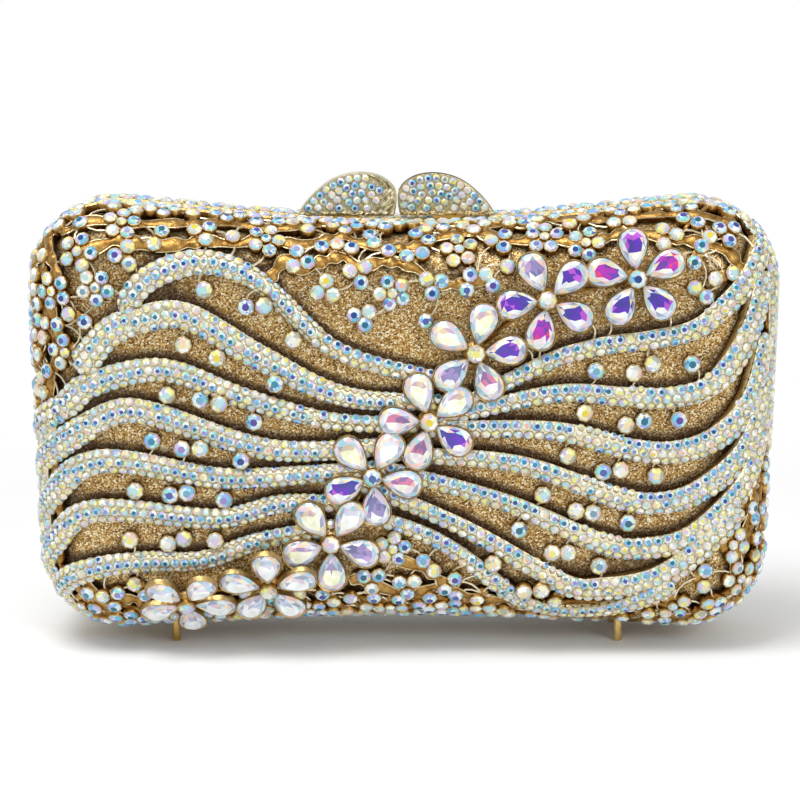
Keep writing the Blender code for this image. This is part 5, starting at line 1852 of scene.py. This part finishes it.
    def drop_facets(self) -> tuple[np.ndarray, list, list]:
        """A drop's points, facets and each facet's part: rim, crown, star or table."""
        n = self.outline_points
        half = n // 2
        middle = np.array((self.petal_length * self.middle_share, 0))
        seat = self.petal_seat
        rings = (
            (self.outline(n) * self.foot_share, seat), (self.outline(n), seat + self.foot_height),
            (self.outline(n), seat + self.girdle),
            (middle + (self.outline(half, 0.5) - middle) * self.break_share, seat + self.crown_break),
            (middle + (self.outline(half) - middle) * self.table_share, seat + self.table_height),
            (middle + (self.outline(5, 0.5) - middle) * self.star_share, seat + self.table_height),
            (middle[None], seat + self.table_height))
        points = np.vstack([np.column_stack((ring, np.full(len(ring), height))) for ring, height in rings])
        starts = np.concatenate(((0,), np.cumsum([len(ring) for ring, _ in rings])))
        low, base, edge, crown, table, inner, centre = (int(value) for value in starts[:7])
        faces = [tuple(reversed(range(low, low + n)))]
        parts = ["rim"]
        for here in range(n):
            after = (here + 1) % n
            faces.append((low + here, low + after, base + after, base + here))
            faces.append((base + here, base + after, edge + after, edge + here))
            parts += ["rim", "rim"]
        for here in range(half):
            after = (here + 1) % half
            a, b, c = edge + 2 * here, edge + 2 * here + 1, edge + (2 * here + 2) % n
            faces += [(a, b, crown + here), (b, c, crown + here), (c, crown + after, crown + here),
                      (crown + here, table + after, table + here),
                      (crown + here, crown + after, table + after)]
            parts += ["crown", "crown", "crown", "star", "star"]
        for here in range(5):
            after = (here + 1) % 5
            a, b, c = table + 2 * here, table + 2 * here + 1, table + (2 * here + 2) % half
            faces += [(a, b, inner + here), (b, c, inner + here), (c, inner + after, inner + here),
                      (inner + here, inner + after, centre)]
            parts += ["table"] * 4
        return points, faces, parts

    def colours(self, points: np.ndarray, faces: list, parts: list, alongs: list, tint: Tint,
                chances: np.random.Generator) -> list:
        """Choose each facet's colour for one drop as it lies on the case.

        Args:
            points: the drop's points in the frame.
            faces: its facets.
            parts: each facet's part.
            alongs: how far along the drop each facet lies, from -1 at its point to 1.
            tint: what its table shows.
            chances: the source of chances.

        Returns:
            A linear colour for each facet.
        """
        middle = points[-1]
        size = self.petal_length / 2
        is_deep = tint in self.deep_tints
        pale_edge = self.pink_edge if tint is Tint.PINK else self.pale_edge
        edge = self.deep_edge if is_deep else pale_edge
        found = []
        for face, part, along in zip(faces, parts, alongs):
            up = float((points[list(face)].mean(0) - middle)[2]) / size
            tone = (along + self.tone_start) * self.tone_rate
            tone += chances.uniform(-self.tone_jitter, self.tone_jitter)
            deep, pale = tint.value[int(np.clip(tone, 0, self.last_tone))], tint.value[3:]
            if part == "rim":
                code = self.rim_tone
            elif part == "table":
                code = deep if up > edge else chances.choice(pale)
            elif part == "star":
                bold = is_deep and up > self.star_edge and chances.random() < self.star_chance
                code = deep if bold else chances.choice(self.crown_tones)
            else:
                code = chances.choice(self.crown_tones)
            found.append(linear(str(code)))
        return found

    def flower(self, index: int, material: bpy.types.Material) -> bpy.types.Mesh:
        """Build the drops of one flower as they lie on the front half."""
        chances = np.random.default_rng(self.seed + index)
        place = self.matrix(index)
        points, faces, parts = self.drop_facets()
        alongs = [points[list(face), 0].mean() / (self.petal_length / 2) for face in faces]
        all_points, all_faces, tones = [], [], []
        for petal, tint in enumerate(self.tints[index]):
            laid = moved(points, self.petal_matrix(place, petal))
            all_faces += [tuple(number + petal * len(points) for number in face) for face in faces]
            all_points.append(laid)
            tones += self.colours(laid, faces, parts, alongs, tint, chances)
        mesh = mesh_of("drops", np.vstack(all_points), all_faces)
        store(mesh, "tint", tones, "FLOAT_COLOR", "FACE")
        return outward(mesh)

    def settings(self, shape: Shape) -> None:
        """Add every drop's bezel and claws and every flower's boss to a shape."""
        n = self.ring_points
        rim = self.outline(n)
        size = np.array((self.petal_length, self.petal_width)) / 2
        seat, top = self.petal_seat, self.petal_seat + self.girdle
        profile = ((0.86, 0.0), (1.0, 0.0), (1.0, top), (0.99, top + 0.15 * MM), (0.95, top),
                   (0.86, seat * 0.8))
        rows = []
        for scale, height in profile:
            grown = rim * (1 + (self.bezel / size) * (1 if scale > 0.9 else 0)) * scale
            rows.append(np.column_stack((grown, np.full(n, height))))
        ring, ring_faces = np.vstack(rows), grid_faces(len(profile), n, looped=True)
        wide, foot = self.boss_radius, self.boss_foot
        boss = ((wide * 0.0001, seat * 1.6), (wide * 0.7, seat * 1.6), (wide * 0.85, seat), (wide, 0.0),
                (wide * 0.95, foot), (wide * 0.0001, foot))
        middle, boss_faces = turned_rings(boss, self.boss_sides), grid_faces(len(boss), self.boss_sides)
        for index in range(len(self.centre_shares)):
            place = self.matrix(index)
            for petal in range(self.petals):
                shape.add(moved(ring, self.petal_matrix(place, petal)), ring_faces, self.ring_tone)
            shape.add(moved(middle, place), boss_faces, self.boss_tone)

    def tips(self) -> list[np.ndarray]:
        """Where the drops' round ends lie on the plan."""
        found = []
        for share, turn in zip(self.centre_shares, self.turns):
            for petal in range(self.petals):
                angle = math.radians(turn + 360 / self.petals * petal)
                way = np.array((math.cos(angle), math.sin(angle)))
                reach = self.petal_ring + self.petal_length * self.tip_share
                found.append(self.form.plan_place(share) + way * reach)
        return found

    def hearts(self, stones: StoneCloud) -> None:
        """Set the round stone in the middle of every flower."""
        for index, chance in enumerate(self.heart_chances):
            place = self.matrix(index)
            out = place.to_3x3() @ Vector((0, 0, 1))
            point = place @ Vector((0, 0, self.heart_lift))
            stones.add(np.array(point), np.array(out), self.heart_radius, index in self.reflecting_hearts,
                       stone=chance)


# The case's shells, frames, linings and clasp


@dataclass
class Case:
    """The glittered shells, the polished frames and closing rim, and the lining trays."""

    form: CaseForm
    shell_wall: float = 1.2 * MM
    lining_wall: float = 0.8 * MM
    fit_gap: float = 0.3 * MM
    frame_front: float = 0.15 * MM
    frame_depth: float = 3.4 * MM
    frame_proud: float = 2.7 * MM
    frame_round: float = 0.7 * MM
    rim_wall: float = 0.8 * MM
    rim_hold: float = 6 * MM
    rim_reach: float = 2 * MM
    rim_roll: float = 0.2 * MM
    lining_set_back: float = 0.5 * MM
    pucker: float = 0.12 * MM
    pucker_rates: tuple = (310, 270)
    shade_reach: float = 3.5 * MM
    shade_shift: float = 1.8 * MM
    shade_start: float = 0.25
    shade_span: float = 0.4
    fine_rays: tuple = (130, 52, 20)
    fine_steps: int = 32
    plain_rays: tuple = (64, 26, 16)
    plain_steps: int = 4
    roll_steps: int = 15
    ring_rays: tuple = (90, 36, 24)
    round_steps: int = 4

    @property
    def lining_lift(self) -> float:
        """How far under the case's outer surface the lining lies."""
        return -self.shell_wall - self.fit_gap

    def plan_rings(self, mouth: float, rays: tuple[int, int, int], steps: int) -> list[np.ndarray]:
        """Rings on the plan, from a tray's mouth over the roll to the middle of its face.

        Args:
            mouth: how far the mouth lies from the parting plane.
            rays: how many lines the rings are drawn on, along and up the face and round its corners.
            steps: how many rings the flat face has.

        Returns:
            The rings' places on the plan.
        """
        form = self.form
        roots, ways = form.rays(*rays)
        rolled = np.linspace(form.rolled_reach, form.flat_corner, self.roll_steps)
        rings = [roots + ways * reach for reach in (form.parting_reach - mouth, *rolled, 0.0)]
        return rings + [roots * share for share in np.linspace(1, 0, steps + 1)[1:]]

    def shades(self, plan: np.ndarray, relief: Relief) -> np.ndarray:
        """The painted shade on the coat: dark where waves stand close, above all at their upper edges."""
        crowd = relief.crowd(plan - (0, self.shade_shift), self.shade_reach, 1 * MM)
        return np.clip((crowd - self.shade_start) / self.shade_span, 0, 1)

    def tray(self, name: str, mouth: float, lift: float, wall: float,
             relief: Relief | None = None) -> bpy.types.Mesh:
        """Build a closed tray with its wall inwards.

        Args:
            name: the mesh's name.
            mouth: how far its mouth lies from the parting plane.
            lift: where its outer surface lies over the case.
            wall: how thick it is.
            relief: the waves whose painted shade darkens a shell's coat; without them it is a puckered
                lining.

        Returns:
            The mesh.
        """
        rays, steps = (self.fine_rays, self.fine_steps) if relief else (self.plain_rays, self.plain_steps)
        outer, inner = self.plan_rings(mouth, rays, steps), self.plan_rings(mouth, rays, self.plain_steps)
        rows = [self.form.place(ring, lift) for ring in outer[::-1]]
        for row, ring in enumerate(inner):
            points = self.form.place(ring, lift - wall)
            if not relief and 0 < row < len(inner) - 1:
                across, up = self.pucker_rates
                wave = np.sin(points[:, 0] * across + row) * np.sin(points[:, 2] * up + 2 * row)
                points[:, 1] += self.pucker * (1 + wave)
            rows.append(points)
        mesh = mesh_of(name, np.vstack(rows), grid_faces(len(rows), len(rows[0])), smooth=True)
        # The shell keeps its painted shade as an attribute
        if relief:
            store(mesh, "shade", np.concatenate([self.shades(ring, relief) for ring in outer[::-1] + inner]))
        mesh = outward(mesh, 0.01 * MM)
        mesh.set_sharp_from_angle(angle=math.radians(50))
        return mesh

    def ring_mesh(self, name: str, profile: list[tuple[float, float]]) -> bpy.types.Mesh:
        """Build a ring right round the case from a profile of depth and lift."""
        form = self.form
        roots, ways = form.rays(*self.ring_rays)
        rows = [form.place(roots + ways * (form.parting_reach - depth), lift) for depth, lift in profile]
        mesh = mesh_of(name, np.vstack(rows), grid_faces(len(rows), len(roots), looped=True), smooth=True)
        mesh = outward(mesh)
        mesh.set_sharp_from_angle(angle=math.radians(40))
        return mesh

    def frame_mesh(self) -> bpy.types.Mesh:
        """Build the frame's ring with rounded outer edges."""
        front, back, top = self.frame_front, self.frame_front + self.frame_depth, self.frame_proud
        profile = [(front, -self.shell_wall)]
        quarter = [math.pi / 2 * step / self.round_steps for step in range(self.round_steps + 1)]
        bevels = [(self.frame_round * (1 - math.cos(angle)), self.frame_round * (1 - math.sin(angle)))
                  for angle in quarter]
        profile += [(front + ahead, top - down) for ahead, down in bevels]
        profile += [(back - ahead, top - down) for down, ahead in bevels]
        profile.append((back, -self.shell_wall))
        return self.ring_mesh("frame_ring", profile)

    def rim_mesh(self) -> bpy.types.Mesh:
        """Build the closing rim with a rolled edge."""
        lift = self.lining_lift - self.lining_wall - self.fit_gap
        reach, hold, wall = self.rim_reach, self.rim_hold, self.rim_wall
        rolled = -reach + self.rim_roll
        profile = [(rolled, lift - wall), (-reach, lift - wall * 0.7), (-reach, lift - wall * 0.3),
                   (rolled, lift), (hold, lift), (hold, lift - wall)]
        return self.ring_mesh("closing_rim_ring", profile)


@dataclass
class ClaspLeaf:
    """One stone-set leaf of the snap clasp, drawn as it stands on the front half.

    The front half's leaf has a thick pale rim and a hammered fold over its inner tip.
    """

    width: float
    height: float
    outer: float
    base: float
    front_y: float
    is_folded: bool
    back_y: float = -0.15 * MM
    bulge: float = 0.35 * MM
    bulge_reach: float = 3 * MM
    bulge_power: float = 0.7
    stone_radius: float = 1.13 * MM
    stone_pitch: float = 2.3 * MM
    stone_room: float = 0.9
    row_insets: tuple = (1.35 * MM, 3.35 * MM, 5.35 * MM, 7.35 * MM, 9.35 * MM, 11.35 * MM)
    fold_width: float = 5.4 * MM
    fold_taper: float = 0.62
    fold_inset: float = 0.1 * MM
    rail_height: float = 1.5 * MM
    over_count: int = 100

    # The body's rings, and the rim's radius and tone without and with a fold
    ring_scales = (1.0, 0.93, 0.85, 0.7, 0.5, 0.25, 0.0)
    body_tone = 2.1 * MM
    rim_sides = 8
    rim_radii = (0.2 * MM, 0.36 * MM)
    rim_tones = (0.9 * MM, 3.1 * MM)

    # The hammered rail and fold: their grids, where they run and how they swell
    rail_grid = (7, 56)
    rail_foot = -0.1 * MM
    rail_ends = (0.03, 0.97)
    rail_swell = 0.35 * MM
    fold_grid = (22, 11)
    fold_ends = (0.03, 0.93)
    fold_rise = 0.25 * MM
    hammer_seed = 77
    hammer_wall = 0.5 * MM

    # In millimetres: how the fold swells, and the hammered metal's unevenness and its tones
    fold_swell = 0.8
    hammer_depth = 0.2
    hammer_tones = (1.0, 3.4)

    # Its stones: how finely places are tried, and what they keep clear of
    try_step = 0.1 * MM
    rail_room = 0.4 * MM
    fold_room = 0.4
    inset_share = 0.94
    reflection_share = 0.42
    stone_seed = 31
    cell_radii = 4

    outline_shares = (
        (0.00, 0.00), (0.06, 0.22), (0.17, 0.50), (0.32, 0.77), (0.48, 0.92), (0.65, 0.97),
        (0.82, 0.91), (0.95, 0.73), (1.00, 0.50), (1.00, 0.22), (0.98, 0.00),
    )

    @classmethod
    def of_half(cls, half: Half) -> "ClaspLeaf":
        """Take a half's leaf from its CAD node."""
        low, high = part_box(half.word + "_leaf")
        return cls(high.x - low.x, high.z - low.z, min(low.x, -high.x), low.z, min(low.y, -high.y),
                   half is Half.FRONT)

    def __post_init__(self) -> None:
        """Draw the leaf's outline, from its outer foot over the top, and back along its foot."""
        shares = np.array(self.outline_shares) * (self.width, self.height)
        self.over = CaseForm().smooth_path(shares, self.over_count)
        foot = np.linspace(self.over[-1], self.over[0], self.over_count // 3)[1:-1]
        self.edge = np.vstack((self.over, foot))

    def face_y(self, spots: np.ndarray, side: int) -> np.ndarray:
        """Where a face lies at places on the leaf: back at the edge, fuller inside."""
        away = np.min(np.linalg.norm(spots[:, None] - self.edge[None], axis=2), axis=1)
        fullness = self.bulge * np.clip(away / self.bulge_reach, 0, 1) ** self.bulge_power
        return (self.front_y if side < 0 else self.back_y) + side * fullness

    def place(self, spots: np.ndarray, y: np.ndarray | float) -> np.ndarray:
        """Places in the frame of places on the leaf."""
        y = np.broadcast_to(y, len(spots))
        return np.stack((self.outer + spots[:, 0], y, self.base + spots[:, 1]), -1)

    def build(self, shape: Shape) -> None:
        """Add the leaf's body, its rim, the hammered rails at its foot and its fold."""
        centre = self.edge.mean(0)
        rows = []
        for side, scales in ((1, self.ring_scales[::-1]), (-1, self.ring_scales)):
            for scale in scales:
                spots = centre + (self.edge - centre) * scale
                rows.append(self.place(spots, self.face_y(spots, side)))
        shape.add(np.vstack(rows), grid_faces(len(rows), len(self.edge), looped=True), self.body_tone)
        self.rim(shape, self.rim_radii[self.is_folded], self.rim_tones[self.is_folded])
        rows, columns = self.rail_grid
        across = np.linspace(*self.rail_ends, columns) * self.width
        up = np.linspace(self.rail_foot, self.rail_height, rows)[:, None]
        swell = np.sin(np.linspace(0, math.pi, rows))[:, None] * self.rail_swell
        rail = np.stack(np.broadcast_arrays(across, up, swell), -1)
        for side in (-1, 1):
            self.hammered(shape, rail, side)
        if self.is_folded:
            rows, columns = self.fold_grid
            z = np.linspace(*self.fold_ends, rows) * self.height
            share = np.linspace(0, 1, columns)
            left, right = self.fold_edges(z)
            x = left[:, None] + (right - left)[:, None] * share
            swell = self.fold_rise + np.sin(share * math.pi) * self.fold_swell * MM
            self.hammered(shape, np.stack(np.broadcast_arrays(x, z[:, None], swell), -1), -1)

    def rim(self, shape: Shape, radius: float, lift: float) -> None:
        """Add the flattened wire round the leaf, as deep as the leaf is thick."""
        line = self.place(self.edge, (self.front_y + self.back_y) / 2)
        depth = (self.back_y - self.front_y) / 2
        ahead = unit(np.roll(line, -1, axis=0) - np.roll(line, 1, axis=0))
        aside = np.cross(ahead, (0, 1, 0))
        turns = (np.arange(self.rim_sides) * math.tau / self.rim_sides)[:, None]
        rings = (line[:, None] + radius * np.cos(turns) * aside[:, None]
                 + depth * np.sin(turns) * np.array((0, 1, 0)))
        shape.add(rings.reshape(-1, 3), grid_faces(len(line), self.rim_sides, looped=True), lift)

    def fold_edges(self, z: np.ndarray) -> tuple[np.ndarray, np.ndarray]:
        """Where the fold begins and ends across the leaf at some heights."""
        tip = self.over[np.argmax(self.over[:, 1]):][::-1]
        right = np.interp(z, tip[:, 1], tip[:, 0]) - self.fold_inset
        return right - self.fold_width * (1 - self.fold_taper * z / self.height), right

    def hammered(self, shape: Shape, grid: np.ndarray, side: int) -> None:
        """Add a patch of hammered metal to a face of the leaf.

        Args:
            shape: what it goes into.
            grid: rows of places, each as its distances across, up and out of the leaf.
            side: -1 for the outward face and 1 for the inward one.
        """
        chances = np.random.default_rng(self.hammer_seed)
        rows, columns = grid.shape[:2]
        bump = chances.uniform(-self.hammer_depth, self.hammer_depth, (rows, columns)) * MM
        y = (self.front_y if side < 0 else self.back_y) + side * (grid[..., 2] + bump)
        points = np.stack((self.outer + grid[..., 0], y, self.base + grid[..., 1]), -1).reshape(-1, 3)
        count = rows * columns
        faces = grid_faces(rows, columns, closed=False)
        faces += [tuple(count + number for number in reversed(face)) for face in faces]
        rim = (list(range(columns)) + [row * columns + columns - 1 for row in range(1, rows)]
               + [(rows - 1) * columns + column for column in reversed(range(columns - 1))]
               + [row * columns for row in reversed(range(1, rows - 1))])
        for here, after in zip(rim, rim[1:] + rim[:1]):
            faces.append((here, count + here, count + after, after))
        tones = chances.uniform(*self.hammer_tones, count) * MM
        under = points - (0, side * self.hammer_wall, 0)
        shape.add(np.vstack((points, under)), faces, np.tile(tones, 2))

    def set_stones(self, stones: StoneCloud) -> None:
        """Set both faces of the leaf with arcs of stones that follow its outline."""
        ahead = unit(np.gradient(self.over, axis=0))
        inward = np.stack((ahead[:, 1], -ahead[:, 0]), -1)
        for side in (-1, 1):
            for inset in self.row_insets:
                line = self.over + inward * inset
                runs = run_lengths(line)
                last = -1.0
                for place in np.arange(0, runs[-1], self.try_step):
                    spot = np.array([np.interp(place, runs, line[:, axis]) for axis in (0, 1)])
                    away = np.min(np.linalg.norm(self.over - spot, axis=1))
                    left = self.fold_edges(spot[1:])[0][0]
                    covered = spot[0] > left - self.fold_room * self.stone_radius
                    hidden = side < 0 and self.is_folded and covered
                    low = spot[1] < self.rail_height + self.rail_room
                    if low or hidden or away < inset * self.inset_share or place - last < self.stone_pitch:
                        continue
                    point = self.place(spot[None], self.face_y(spot[None], side))[0]
                    if stones.add(point, np.array((0.0, float(side), 0.0)), self.stone_radius,
                                  self.reflection_share, self.stone_room):
                        last = place


# The studio


@dataclass
class Studio:
    """A plain pale floor and soft light."""

    floor_size: float = 3.0
    near: float = 0.16
    far: float = 0.34
    world_strength: float = 0.62
    aim: tuple = (0, 0, 0.06)

    def floor(self) -> None:
        """Add the floor, which keeps the shadow near the clutch and is plain white far off."""
        half = self.floor_size / 2
        corners = [(-half, -half, 0), (half, -half, 0), (half, half, 0), (-half, half, 0)]
        mesh = mesh_of("floor", corners, [(0, 1, 2, 3)])
        new_object("floor", mesh)
        made, tree, shader = new_material("matt_white_card")
        feed(tree, shader, {"Base Color": (0.93, 0.93, 0.93, 1), "Roughness": 0.9})
        coords = add_node(tree, "ShaderNodeTexCoord")
        away = add_node(tree, "ShaderNodeVectorMath", {"operation": "LENGTH"}, {0: coords.outputs["Object"]})
        share = add_node(tree, "ShaderNodeMapRange", {"interpolation_type": "SMOOTHSTEP"}, {
            "Value": away.outputs["Value"], "From Min": self.near, "From Max": self.far})
        path = add_node(tree, "ShaderNodeLightPath")
        seen = add_node(tree, "ShaderNodeMath", {"operation": "MAXIMUM"}, {
            0: path.outputs["Is Camera Ray"], 1: path.outputs["Is Glossy Ray"]})
        mix = add_node(tree, "ShaderNodeMath", {"operation": "MULTIPLY"}, {
            0: share.outputs["Result"], 1: seen.outputs[0]})
        white = add_node(tree, "ShaderNodeEmission", {}, {"Color": (1, 1, 1, 1), "Strength": 1.0})
        both = add_node(tree, "ShaderNodeMixShader", {}, {
            0: mix.outputs[0], 1: shader.outputs[0], 2: white.outputs[0]})
        feed(tree, tree.nodes["Material Output"], {"Surface": both.outputs[0]})
        mesh.materials.append(made)

    def world(self) -> None:
        """Light the scene evenly, and show plain white to the camera and in reflections."""
        world = bpy.data.worlds.new("studio")
        bpy.context.scene.world = world
        world.use_nodes = True
        tree = world.node_tree
        path = add_node(tree, "ShaderNodeLightPath")
        strength = add_node(tree, "ShaderNodeMapRange", {}, {
            "Value": path.outputs["Is Camera Ray"], "To Min": self.world_strength, "To Max": 1.0})
        feed(tree, tree.nodes["Background"], {"Color": (1, 1, 1, 1), "Strength": strength.outputs["Result"]})

    def lamp(self, name: str, place: tuple, size: float, power: float) -> None:
        """Add a square soft lamp that looks at the clutch's middle."""
        data = bpy.data.lights.new(name, "AREA")
        data.size = size
        data.energy = power
        lamp = new_object(name, data)
        lamp.location = place
        lamp.rotation_euler = (Vector(self.aim) - Vector(place)).to_track_quat("-Z", "Y").to_euler()

    def build(self) -> None:
        """Set up the whole studio."""
        self.floor()
        self.world()
        self.lamp("top_softbox", (-0.25, -0.25, 0.9), 0.5, 5.6)
        self.lamp("front_softbox", (0.45, -0.8, 0.45), 0.3, 2.4)
        bpy.context.scene.view_settings.view_transform = "Standard"


class Clutch:
    """The whole clutch, built for the front half and repeated for the back."""

    def __init__(self) -> None:
        """Choose the sizes and finishes."""
        self.form = CaseForm()
        self.view = PhotoView()
        self.openwork = Openwork(self.form, Sprigs(self.form, self.view))
        self.setter = Setter()
        self.cast = CastGold().material()
        self.pale_cast = CastGold("champagne_plated_casting", CastGold.pale_stops).material()
        self.gold = PolishedGold().material()
        self.chaton = AuroraChaton().material()
        self.drop = AuroraDrop().material()
        self.glitter = ShellGlitter().material()
        self.lining = MetallicLining().material()

    def both(self, name: str, mesh: bpy.types.Mesh, material: bpy.types.Material, slot: str,
             replaces: tuple[str, ...] = ()) -> None:
        """Finish a piece for each half.

        Args:
            name: the piece's name, after the half's word.
            mesh: its mesh as it lies on the front half.
            material: its finish.
            slot: the record's material slot; not used.
            replaces: the CAD nodes it stands for, without the half's word.
        """
        for half in Half:
            nodes = tuple(half.word + "_" + node for node in replaces)
            finish_piece(name, mesh, material, half, half.body, nodes)
        log.info("%s: %d faces in each half", name, len(mesh.polygons))

    def build_case(self) -> None:
        """Build the shells, frames, closing rim and linings."""
        case = Case(self.form)
        self.both("glitter_shell", case.tray("shell", self.form.shell_mouth, 0.0, case.shell_wall,
                                             self.openwork.shadow), self.glitter, "glitter", ("shell",))
        lining = case.tray("lining", case.lining_set_back, case.lining_lift, case.lining_wall)
        self.both("foiled_lining", lining, self.lining, "lining", ("lining",))
        self.both("polished_frame", case.frame_mesh(), self.gold, "gold", ("frame",))
        finish_piece("closing_lip", case.rim_mesh(), self.gold, Half.BACK, Half.BACK.body,
                     ("closing_rim",))

    def build_openwork(self) -> None:
        """Build the casting, its stones, the branches and the flowers."""
        openwork = self.openwork
        pave = StoneCloud(openwork.cell_radii * openwork.stone_radius, openwork.pave_seed)
        openwork.set_stones(pave)
        openwork.set_band(pave)
        branches = Branches(openwork, pave)
        flowers = Flowers(self.form)
        flowers.hearts(branches.stones)
        branches.set_all()
        branches.hold(flowers.tips())
        cast = openwork.build_cast()
        self.both("cast_openwork", cast.mesh("cast"), self.cast, "gold", ("openwork",))
        wires = Shape()
        branches.add_metal(wires)
        self.both("sprig_wires", wires.mesh("wires"), self.cast, "gold")
        for name, cloud, tone_lift, metal in (("wave", pave, 2.7 * MM, self.pale_cast),
                                              ("sprig", branches.stones, 2.6 * MM, self.cast)):
            stones = self.setter.run(name + "_stones", cloud, ChatonCut().mesh(), self.chaton)
            self.both(name + "_stones", stones, self.chaton, "crystal")
            cups = self.setter.run(name + "_cups", cloud, CupCut(tone_lift).mesh(), metal)
            self.both(name + "_cups", cups, metal, "gold")
        for index in range(len(flowers.centre_shares)):
            word = "flower_%d" % (index + 1)
            self.both(word + "_drops", flowers.flower(index, self.drop), self.drop, "crystal", (word,))
        settings = Shape()
        flowers.settings(settings)
        self.both("flower_settings", settings.mesh("settings"), self.cast, "gold")

    def build_clasp(self) -> None:
        """Build the two clasp leaves."""
        for half in Half:
            leaf = ClaspLeaf.of_half(half)
            body = Shape()
            leaf.build(body)
            finish_piece("leaf_casting", body.mesh("leaf"), self.pale_cast, half, half.clasp,
                         (half.word + "_leaf",))
            stones = StoneCloud(leaf.cell_radii * leaf.stone_radius, leaf.stone_seed)
            leaf.set_stones(stones)
            for name, shape, material, slot in (
                    ("leaf_stones", ChatonCut().mesh(), self.chaton, "crystal"),
                    ("leaf_cups", CupCut(2.0 * MM).mesh(), self.pale_cast, "gold")):
                mesh = self.setter.run(name, stones, shape, material)
                finish_piece(name, mesh, material, half, half.clasp)
            log.info("%s leaf: %d stones", half.word, len(stones.rows))

    def dress_fittings(self) -> None:
        """Give the feet, knuckles, pins, stems and chain rings their finish."""
        words = ("foot", "knuckle", "hinge_pin", "leaf_stem", "chain_ring")
        for name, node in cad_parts.items():
            if any(word in name for word in words):
                node.data.materials.clear()
                node.data.materials.append(self.gold)


def main() -> None:
    """Build every piece of both halves and the studio."""
    logging.basicConfig(level=logging.INFO, format="%(name)s: %(message)s")
    clutch = Clutch()
    clutch.view.add_camera()
    clutch.build_case()
    clutch.build_openwork()
    clutch.build_clasp()
    clutch.dress_fittings()
    Studio().build()


if __name__ == "__main__":
    main()
